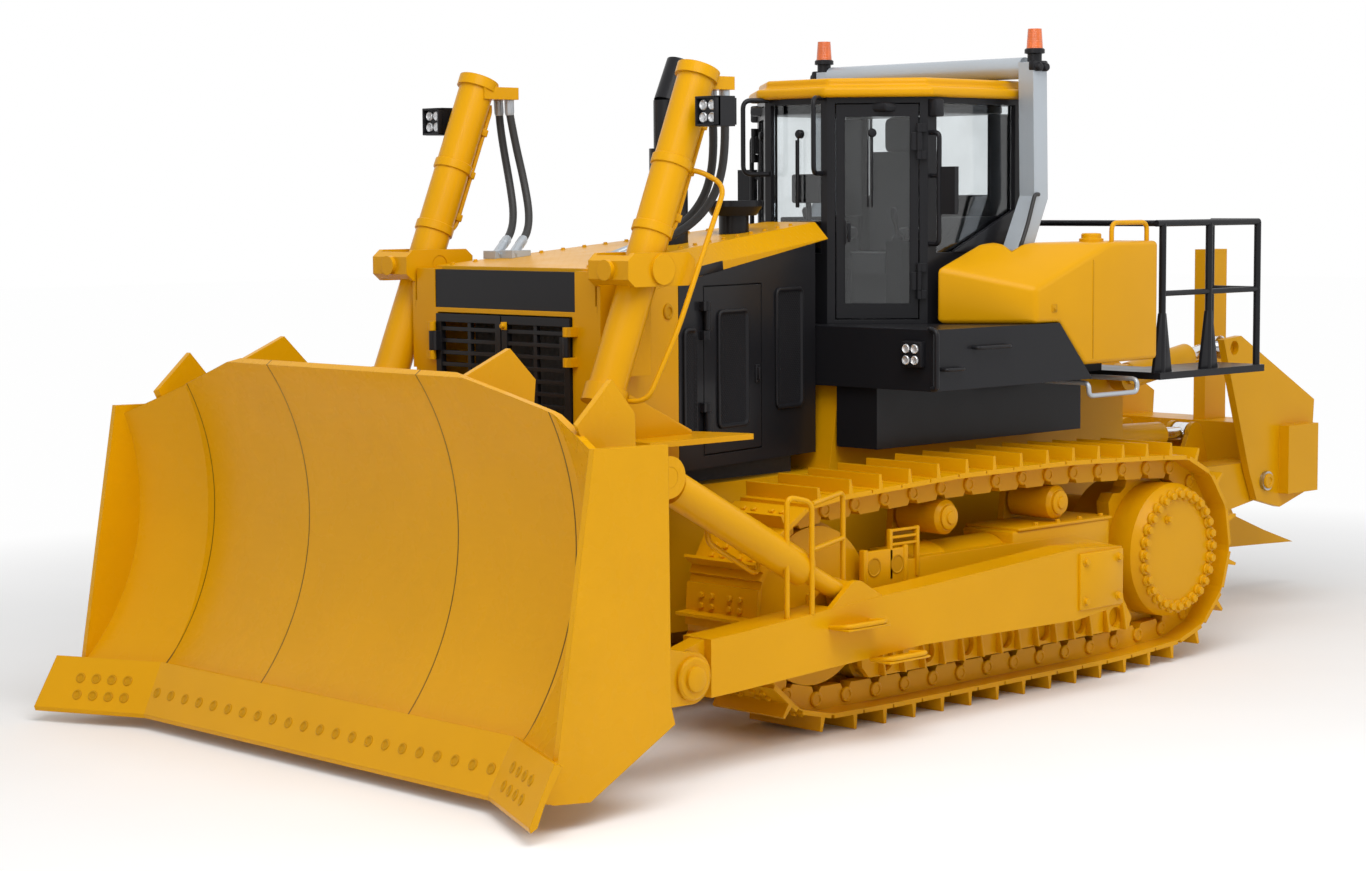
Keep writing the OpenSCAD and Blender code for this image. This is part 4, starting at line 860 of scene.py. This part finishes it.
class BULLDOZER_OT_panel_trim(bpy.types.Operator):
    """Mesh windows, latches, seals, gussets and ports beside the engine, and the grille's latch"""
    bl_idname = "bulldozer.panel_trim"
    bl_label = "Panel trim"

    port = ((0.05, -0.003), (0.05, 0.008), (0.042, 0.014), (0.03, 0.014), (0.026, 0.004), (0.01, 0.004))
    knob = ((0.016, 0.0), (0.016, 0.024), (0.013, 0.03), (0.006, 0.031))

    def execute(self, context):
        for side, s in SIDES:
            door = f"engine_door_{side}"
            for name, node, body, x, z, wide, tall in (
                    ("front", "side_panels", "tractor", 330, 2150, 0.15, 0.72),
                    ("door", door, door, -150, 2230, 0.36, 0.76),
                    ("rear", "side_panels", "tractor", -810, 2330, 0.34, 0.8)):
                self.window(f"panel_window_{name}_{side}", upright(flank(node, s, x, z)), wide, tall, body)
            latch = layers(flank(door, s, -430, 2180), ((0.05, 0.12, 0.012), 0.004, (0, 0, 0.004)),
                           ((0.022, 0.085, 0.02), 0.006, (0, 0, 0.016)))
            dress(joined(f"panel_latch_{side}", latch), door, "black_paint")
            self.seal(f"door_seal_{side}", s, door)
            gusset = box(f"shelf_gusset_{side}", spot(560, s * 905, 1872), spot(1090, s * 925, 2150), 0.004)
            shift(gusset, lambda corner: corner.z > 2.0 and corner.x < spot(800, 0, 0).x, (0, 0, -0.25))
            dress(gusset, "tractor", "yellow_paint")
            port = turned(f"nose_port_{side}", self.port, 32, flank("radiator_guard", s, 560, 2620))
            # The port is darker yellow: painted shade in its recessed dish
            dress(port, "tractor", "yellow_paint", "seam_and_recess_shade_paint")
        place = upon("grille_door_left", spot(2600, 34, 2540), (-1, 0, 0))
        latch = layers(place, ((0.05, 0.05, 0.012), 0.004, (0, 0, 0.004)))
        latch.append(turned("knob", self.knob, 20, place))
        dress(joined("grille_latch", latch), "grille_door_left", "yellow_paint")
        return {"FINISHED"}

    def seal(self, name, s, door):
        """A rubber strip behind the top edge of an engine door"""
        below, inside = 0.14, 0.085
        corners = [Vector(corner) for corner in frame["nodes"][door].bound_box]
        back, front = min(c.x for c in corners), max(c.x for c in corners)
        height = max(c.z for c in corners) - below
        ends = []
        for part in (0.3, 0.7):
            start = Vector((back + (front - back) * part, s * BESIDE / 1000, height))
            ends.append(upon(door, start, (0, -s, 0)) @ Vector((0, 0, -inside)) + UP * below)
        reach = (ends[1] - ends[0]) * 0.8
        strip = tube(name, [ends[0] - reach, *ends, ends[1] + reach], 0.04, 0.01)
        dress(strip, "tractor", "hose_rubber")

    def window(self, name, place, wide, tall, body):
        """A rounded frame round a sheet of mesh"""
        deselect()
        bpy.ops.mesh.primitive_plane_add(size=1)
        pane = bpy.context.object
        pane.name = name
        pane.scale = (wide, tall, 1)
        settle(pane)
        bpy.ops.object.mode_set(mode="EDIT")
        bpy.ops.mesh.select_all(action="SELECT")
        bpy.ops.mesh.bevel(offset=0.05, segments=5, affect="VERTICES")
        bpy.ops.mesh.select_all(action="SELECT")
        bpy.ops.mesh.extrude_region_move(TRANSFORM_OT_translate={"value": (0, 0, 0.014)})
        for thickness, lift in ((0.018, 0.004), (0.012, -0.014)):
            bpy.ops.mesh.inset(thickness=thickness)
            bpy.ops.transform.translate(value=(0, 0, lift))
        bpy.ops.mesh.select_all(action="SELECT")
        bpy.ops.mesh.normals_make_consistent(inside=False)
        bpy.ops.object.mode_set(mode="OBJECT")
        settle(pane, place)
        soften(pane, 0.002, 1)
        dress(pane, body, "black_paint")
        pane.data.materials.append(bpy.data.materials["panel_mesh"])
        for face in pane.data.polygons:
            if (face.center - place.translation).length < 0.06 or face.area > wide * tall * 0.4:
                face.material_index = 1


class BULLDOZER_OT_cab_trim(bpy.types.Operator):
    """Handles, grab bars and wipers of the cab"""
    bl_idname = "bulldozer.cab_trim"
    bl_label = "Cab trim"

    hub = ((0.03, 0.0), (0.03, 0.03), (0.022, 0.04), (0.01, 0.042))

    def execute(self, context):
        r = context.scene.bulldozer_sizes.rail_radius
        for side, s in SIDES:
            door = f"cab_door_{side}"
            handle = layers(flank(door, s, -1440, 3080), ((0.05, 0.16, 0.012), 0.004, (0, 0, 0.003)),
                            ((0.026, 0.13, 0.024), 0.008, (0, 0, 0.026)))
            dress(joined(f"door_handle_{side}", handle), door, "black_paint")
            front = route(s, (-1340, 250, 3985), (-1180, 330, 3985), (-1180, 330, 3480), (-1345, 250, 3480))
            dress(tube(f"cab_grab_{side}", front, r, 0.06), "tractor", "black_paint")
            rear = route(s, (-1830, 800, 3750), (-1830, 880, 3750), (-1830, 880, 3000), (-1830, 800, 3000))
            dress(tube(f"door_grab_{side}", rear, r, 0.05), "tractor", "black_paint")
            self.wiper(f"door_wiper_{side}", flank(f"door_glass_{side}", s, -1560, 3700), door)
        self.wiper("front_wiper", upon("cab_glass", spot(500, 0, 3700), (-1, 0, 0)), "tractor")
        return {"FINISHED"}

    def wiper(self, name, place, body):
        """An arm that hangs over the glass with its blade"""
        parts = layers(place, ((0.014, 0.5, 0.012), 0.004, (0.02, -0.2, 0.03)),
                       ((0.012, 0.46, 0.018), 0.004, (-0.01, -0.22, 0.014)))
        parts.append(turned("hub", self.hub, 20, place @ Matrix.Translation((0.02, 0.05, 0))))
        dress(joined(name, parts), body, "black_paint")


class BULLDOZER_OT_cab_lining(bpy.types.Operator):
    """Dark lining, headrest, armrests, levers and screen inside the cab"""
    bl_idname = "bulldozer.cab_lining"
    bl_label = "Cab lining"

    lever = ((0.045, 0.0), (0.04, 0.03), (0.016, 0.05), (0.014, 0.12), (0.026, 0.15), (0.028, 0.22),
             (0.015, 0.24))
    arms = (-410, 410)

    def execute(self, context):
        lining = [box("ceiling", spot(-2800, -640, 3890), spot(-1560, 640, 3955), 0.02),
                  box("rear", spot(-2822, -660, 2560), spot(-2770, 660, 3330), 0.02)]
        for _, s in SIDES:
            lining.append(box("side", spot(-2760, s * 690, 2560), spot(-1960, s * 724, 3180), 0.012))
            lining.append(box("pillar", spot(-2810, s * 690, 3180), spot(-2560, s * 724, 3890), 0.012))
        dress(joined("cab_lining", lining), "tractor", "black_paint")
        pads = [block("headrest", (0.12, 0.32, 0.26), 0.05, at(-2490, 0, 3758))]
        pads += [block("armrest", (0.42, 0.12, 0.09), 0.035, at(-2190, y, 3063)) for y in self.arms]
        dress(joined("seat_pads", pads), "tractor", "seat_fabric")
        controls = [turned("lever", self.lever, 20, aim(spot(-1950, y, 3016), (0.25, 0, 1)))
                    for y in self.arms]
        controls.append(block("screen", (0.05, 0.26, 0.2), 0.015, at(-1590, -110, 3380)))
        stalk = route(1, (-1590, -110, 3340), (-1610, -110, 3250), (-1610, -110, 3154))
        controls.append(tube("stalk", stalk, 0.02, 0.04))
        dress(joined("cab_levers", controls), "tractor", "black_paint")
        return {"FINISHED"}


class BULLDOZER_OT_tank_trim(bpy.types.Operator):
    """Filler caps, locks, seams and grab tubes of the tanks"""
    bl_idname = "bulldozer.tank_trim"
    bl_label = "Tank trim"

    cap = ((0.085, -0.004), (0.085, 0.02), (0.07, 0.026), (0.07, 0.05), (0.063, 0.058), (0.03, 0.06))
    key = ((0.016, 0.0), (0.016, 0.014), (0.012, 0.018), (0.006, 0.018))

    def execute(self, context):
        r = context.scene.bulldozer_sizes.rail_radius
        for side, s in SIDES:
            place = upon("tanks", spot(-3050, s * 1230, 4500), (0, 0, -1))
            dress(turned(f"filler_cap_{side}", self.cap, 40, place), "tractor", "yellow_paint")
            grab = route(s, (-3150, 1330, 2995), (-3150, 1330, 3130),
                         (-3560, 1330, 3130), (-3560, 1330, 2995))
            dress(tube(f"tank_grab_{side}", grab, r, 0.06), "tractor", "yellow_paint")
            seam = box(f"tank_seam_{side}", spot(-2858, s * 1396, 2200), spot(-2846, s * 1404, 2880), 0.002)
            dress(seam, "tractor", "yellow_paint", "seam_and_recess_shade_paint")
            place = flank("tanks", s, -2420, 2560)
            lock = layers(place, ((0.055, 0.055, 0.01), 0.006, (0, 0, 0.003)))
            lock.append(turned("key", self.key, 16, place))
            dress(joined(f"tank_lock_{side}", lock), "tractor", "yellow_paint", "seam_and_recess_shade_paint")
        return {"FINISHED"}


class BULLDOZER_OT_platform_trim(bpy.types.Operator):
    """Lamps, handles, posts and step tubes of the platform"""
    bl_idname = "bulldozer.platform_trim"
    bl_label = "Platform trim"

    def execute(self, context):
        r = context.scene.bulldozer_sizes.rail_radius
        for side, s in SIDES:
            point = upon("platform", spot(600, s * 1250, 2300), (-1, 0, 0)).translation
            case = box(f"step_lamp_{side}", point + Vector((-0.01, -0.085, -0.085)),
                       point + Vector((0.05, 0.085, 0.085)), 0.012)
            dress(case, "tractor", "black_paint")
            lamp_cells(f"step_lamp_cells_{side}", point + Vector((0.049, 0, 0)), 0.03, "tractor")
            for name, x0, x1, z in (("front", -1240, -1420, 2200), ("rear", -1560, -1900, 2330)):
                bar = route(s, (x0, 1396, z), (x0, 1450, z), (x1, 1450, z), (x1, 1396, z))
                dress(tube(f"platform_handle_{name}_{side}", bar, r * 0.7, 0.03), "tractor", "black_paint")
            post = route(s, (-1150, 1380, 2462), (-1150, 1380, 2470), (-1150, 1440, 2450),
                         (-1150, 1440, 2080), (-1150, 1396, 2080))
            dress(tube(f"platform_post_{side}", post, r, 0.04), "tractor", "black_paint")
            step = route(s, (-2824, 870, 2030), (-2824, 1390, 2030), (-2824, 1390, 1940),
                         (-3380, 1390, 1940), (-3380, 1390, 2030), (-3380, 870, 2030))
            dress(tube(f"step_tube_{side}", step, r, 0.06), "tractor", "silver_paint")
        return {"FINISHED"}


class BULLDOZER_OT_arm_trim(bpy.types.Operator):
    """Steps, handrail hoops, covers and pin caps on the push arms, and rails on the tilt barrels"""
    bl_idname = "bulldozer.arm_trim"
    bl_label = "Push arm trim"

    hoops = (((691, 1850, 836), (691, 1850, 1563), (507, 1880, 1521), (507, 1880, 846)),
             ((507, 1880, 1509), (25, 1690, 1527), (25, 1690, 972)))
    brace = ((507, 1880, 1235), (25, 1690, 1245))
    rail = ((1127, 1589), (667, 1366), (728, 1084), (1146, 1321), (1127, 1589), (900, 1479))
    cap = ((0.125, -0.004), (0.125, 0.018), (0.112, 0.028), (0.075, 0.028), (0.072, 0.045), (0.06, 0.05),
           (0.02, 0.05))

    def execute(self, context):
        r = context.scene.bulldozer_sizes.rail_radius
        for side, s in SIDES:
            steps = []
            for x, z in ((180, 740), (-190, 500)):
                loop = route(s, (x - 180, 1888, z + 12), (x - 180, 2040, z + 30),
                             (x + 180, 2040, z + 30), (x + 180, 1888, z + 12))
                steps.append(box("tread", spot(x - 190, s * 1885, z), spot(x + 190, s * 2050, z + 14), 0.004))
                steps.append(tube("loop", loop, 0.015, 0.06))
            dress(joined(f"arm_steps_{side}", steps), "push_frame", "yellow_paint")
            hoops = [tube("hoop", route(s, *points), r, 0.06) for points in self.hoops]
            hoops.append(tube("brace", route(s, *self.brace), r * 0.9, 0.0))
            dress(joined(f"arm_hoop_{side}", hoops), "push_frame", "yellow_paint")
            rails = [tube("rail", [spot(x, s * 1640, z) for x, z in self.rail], r, 0.06)]
            rails += [tube("stay", route(s, (x, 1640, z), (x, 1700, z)), r, 0.0)
                      for x, z in ((1136, 1455), (697, 1225))]
            dress(joined(f"tilt_rail_{side}", rails), "tilt_barrels", "yellow_paint")
            cover = box("cover", spot(-2534, s * 1886, 582), spot(-2066, s * 1908, 960), 0.008)
            places = [flank("push_arms", s, x, z, 2400, -0.018) for x in (-2480, -2120) for z in (640, 905)]
            heads = repeated("heads", bolt("cover_bolt", 0.042, 0.022), places)
            dress(joined(f"arm_cover_{side}", [cover, heads]), "push_frame", "yellow_paint")
            cap = turned(f"arm_pin_cap_{side}", self.cap, 40, flank("blade", s, 1540, 600, 2400))
            dress(cap, "blade", "yellow_paint")
        return {"FINISHED"}


class BULLDOZER_OT_frame_trim(bpy.types.Operator):
    """Recoil housings, covers, brackets and guard ribs on the track frames"""
    bl_idname = "bulldozer.frame_trim"
    bl_label = "Track frame trim"

    housing = ((0.215, 0.0), (0.235, 0.02), (0.235, 0.62), (0.241, 0.63), (0.241, 0.66), (0.235, 0.67),
               (0.235, 1.08), (0.2, 1.13), (0.2, 1.2), (0.12, 1.21))
    hole = ((0.062, -0.002), (0.062, 0.004), (0.054, 0.005), (0.05, 0.001), (0.02, 0.001))

    def execute(self, context):
        for side, s in SIDES:
            place = aim(spot(-1900, s * TRACK_MIDDLE, 832), (1, 0, 0))
            dress(turned(f"recoil_housing_{side}", self.housing, 64, place), "tractor", "yellow_paint")
            cover = box("cover", spot(-2956, s * 1040, 900), spot(-1890, s * 1478, 1088), 0.02)
            lid = box("lid", spot(-2970, s * 1032, 1084), spot(-1940, s * 1486, 1106), 0.006)
            places = [aim(spot(x, s * 1440, 1105), UP) for x in (-2900, -2660, -2420, -2180)]
            heads = repeated("heads", bolt("lid_bolt", 0.034, 0.018), places)
            dress(joined(f"frame_cover_{side}", [cover, lid, heads]), "tractor", "yellow_paint")
            self.bracket(side, s)
            rib = box("rib", spot(-8, s * 1487, 300), spot(10, s * 1543, 556), 0.004)
            shift(rib, lambda corner: corner.z > 0.5 and abs(corner.y) > 1.51, (0, -s * 0.04, 0))
            places = [Matrix.Translation((x / 1000, 0, 0)) for x in range(-540, -3100, -195)]
            dress(repeated(f"guard_ribs_{side}", rib, places), "tractor", "yellow_paint")
        return {"FINISHED"}

    def bracket(self, side, s):
        """The plate with two round holes and the small ladder behind it"""
        bars = [(-800, -380, 1464, 1496, 860, 1098, 0.01)]
        bars += [(x - 20, x + 20, 1458, 1502, 855, 1110, 0.006) for x in (-782, -398)]
        bars += [(x - 14, x + 14, 1464, 1496, 900, 1222, 0.005) for x in (-645, -905)]
        bars += [(-905, -645, 1468, 1492, z - 9, z + 9, 0.004) for z in (1120, 1165, 1210)]
        parts = [box("bar", spot(x0, s * y0, z0), spot(x1, s * y1, z1), rounded)
                 for x0, x1, y0, y1, z0, z1, rounded in bars]
        dress(joined(f"frame_bracket_{side}", parts), "tractor", "yellow_paint")
        places = [aim(spot(x, s * 1496, 995), (0, s, 0)) for x in (-480, -700)]
        # The holes are darker yellow: painted shade in their recess
        holes = repeated(f"bracket_holes_{side}", turned("hole", self.hole, 32), places)
        dress(holes, "tractor", "yellow_paint", "seam_and_recess_shade_paint")


def track_pins():
    """Places of the track pins, spaced evenly along the line that runs round the wheels"""
    runs = []
    for (x, z, radius), (to_x, to_z, to_radius) in zip(WHEELS, WHEELS[1:] + WHEELS[:1]):
        gap = math.hypot(to_x - x, to_z - z)
        normal = math.atan2(to_z - z, to_x - x) + math.acos((radius - to_radius) / gap)
        start = Vector((x + radius * math.cos(normal), z + radius * math.sin(normal)))
        end = Vector((to_x + to_radius * math.cos(normal), to_z + to_radius * math.sin(normal)))
        runs.append((normal, start, end))
    parts, total = [], 0.0
    for i, (x, z, radius) in enumerate(WHEELS):
        first = runs[i - 1][0]
        arc = radius * ((first - runs[i][0]) % (2 * math.pi))
        run = (runs[i][2] - runs[i][1]).length
        parts.append((total, arc, run, x, z, radius, first, runs[i]))
        total += arc + run
    shoes = round(total / TRACK_PITCH)
    pins = []
    for k in range(shoes):
        along = k * total / shoes
        begun, arc, run, x, z, radius, first, straight = [p for p in parts if p[0] <= along][-1]
        rest = along - begun
        if rest <= arc:
            a = first - rest / radius
            pins.append(Vector((x + radius * math.cos(a), z + radius * math.sin(a))))
        else:
            pins.append(straight[1].lerp(straight[2], (rest - arc) / run))
    return pins


class BULLDOZER_OT_track_trim(bpy.types.Operator):
    """Pin ends on the track links and bolts on the shoes"""
    bl_idname = "bulldozer.track_trim"
    bl_label = "Track trim"

    pin_end = ((0.05, -0.003), (0.05, 0.012), (0.044, 0.018), (0.03, 0.018), (0.028, 0.012))
    head = ((0.021, -0.002), (0.021, 0.016), (0.017, 0.02))
    # Outer faces of the links and rows of bolts, in millimetres from the track's middle
    faces = (147.5, -147.5)
    rows = (75, 165, -165, -75)

    def execute(self, context):
        pins = track_pins()
        for side, s in SIDES:
            ends, heads = [], []
            for a, b in zip(pins, pins[1:] + pins[:1]):
                along = (b - a).normalized()
                out = Vector((-along.y, along.x))
                for y in self.faces:
                    place = spot(a.x, s * (TRACK_MIDDLE + y), a.y)
                    ends.append(aim(place, (0, s * math.copysign(1, y), 0)))
                middle = (a + b) / 2 + out * 100
                for y in self.rows:
                    for t in (-62, 4):
                        foot = middle + along * t
                        heads.append(aim(spot(foot.x, s * (TRACK_MIDDLE + y), foot.y), (out.x, 0, out.y)))
            boss = turned("pin_end", self.pin_end, 14)
            dress(repeated(f"track_pin_ends_{side}", boss, ends), "tractor", "yellow_paint")
            head = turned("shoe_bolt", self.head, 6)
            dress(repeated(f"shoe_bolts_{side}", head, heads), "tractor", "yellow_paint")
        return {"FINISHED"}


class BULLDOZER_OT_ripper_trim(bpy.types.Operator):
    """Pin ends on the ripper"""
    bl_idname = "bulldozer.ripper_trim"
    bl_label = "Ripper trim"

    pin_end = ((0.06, -0.004), (0.06, 0.012), (0.054, 0.018), (0.03, 0.018), (0.026, 0.01))

    def execute(self, context):
        for side, s in SIDES:
            for node, x, z in (("ripper_pin", -5870, 1075), ("ripper_tilt_rods", -5430, 2140)):
                place = flank(node, s, x, z, 2600)
                dress(turned(f"{node}_end_{side}", self.pin_end, 32, place), node, "yellow_paint")
        return {"FINISHED"}


class BULLDOZER_PT_panel(bpy.types.Panel):
    """Lists the steps of the dressing"""
    bl_label = "Bulldozer"
    bl_idname = "BULLDOZER_PT_panel"
    bl_space_type = "VIEW_3D"
    bl_region_type = "UI"
    bl_category = "Bulldozer"

    def draw(self, context):
        for group in GROUPS:
            values = getattr(context.scene, group)
            for name in values.__annotations__:
                self.layout.prop(values, name)
        for step in STEPS:
            self.layout.operator(step.bl_idname)


GROUPS = {"bulldozer_colours": BulldozerColours, "bulldozer_sizes": BulldozerSizes,
          "bulldozer_studio": BulldozerStudio}
# The rounded bodies come last, because other steps look for the surfaces that they replace
STEPS = (BULLDOZER_OT_finishes, BULLDOZER_OT_stage, BULLDOZER_OT_hoses, BULLDOZER_OT_edge_bolts,
         BULLDOZER_OT_drive_bolts, BULLDOZER_OT_hood_fixings, BULLDOZER_OT_barrel_lines,
         BULLDOZER_OT_panel_trim, BULLDOZER_OT_cab_trim, BULLDOZER_OT_cab_lining, BULLDOZER_OT_roof_trim,
         BULLDOZER_OT_tank_trim, BULLDOZER_OT_platform_trim, BULLDOZER_OT_arm_trim, BULLDOZER_OT_frame_trim,
         BULLDOZER_OT_track_trim, BULLDOZER_OT_ripper_trim, BULLDOZER_OT_rounded_bodies)


def register():
    for group in GROUPS.values():
        bpy.utils.register_class(group)
    for step in STEPS:
        bpy.utils.register_class(step)
    bpy.utils.register_class(BULLDOZER_PT_panel)
    for name, group in GROUPS.items():
        setattr(bpy.types.Scene, name, PointerProperty(type=group))


def unregister():
    for name in GROUPS:
        delattr(bpy.types.Scene, name)
    bpy.utils.unregister_class(BULLDOZER_PT_panel)
    for step in reversed(STEPS):
        bpy.utils.unregister_class(step)
    for group in reversed(GROUPS.values()):
        bpy.utils.unregister_class(group)


def main():
    register()
    for step in STEPS:
        area, name = step.bl_idname.split(".")
        getattr(getattr(bpy.ops, area), name)()


if __name__ == "__main__":
    main()
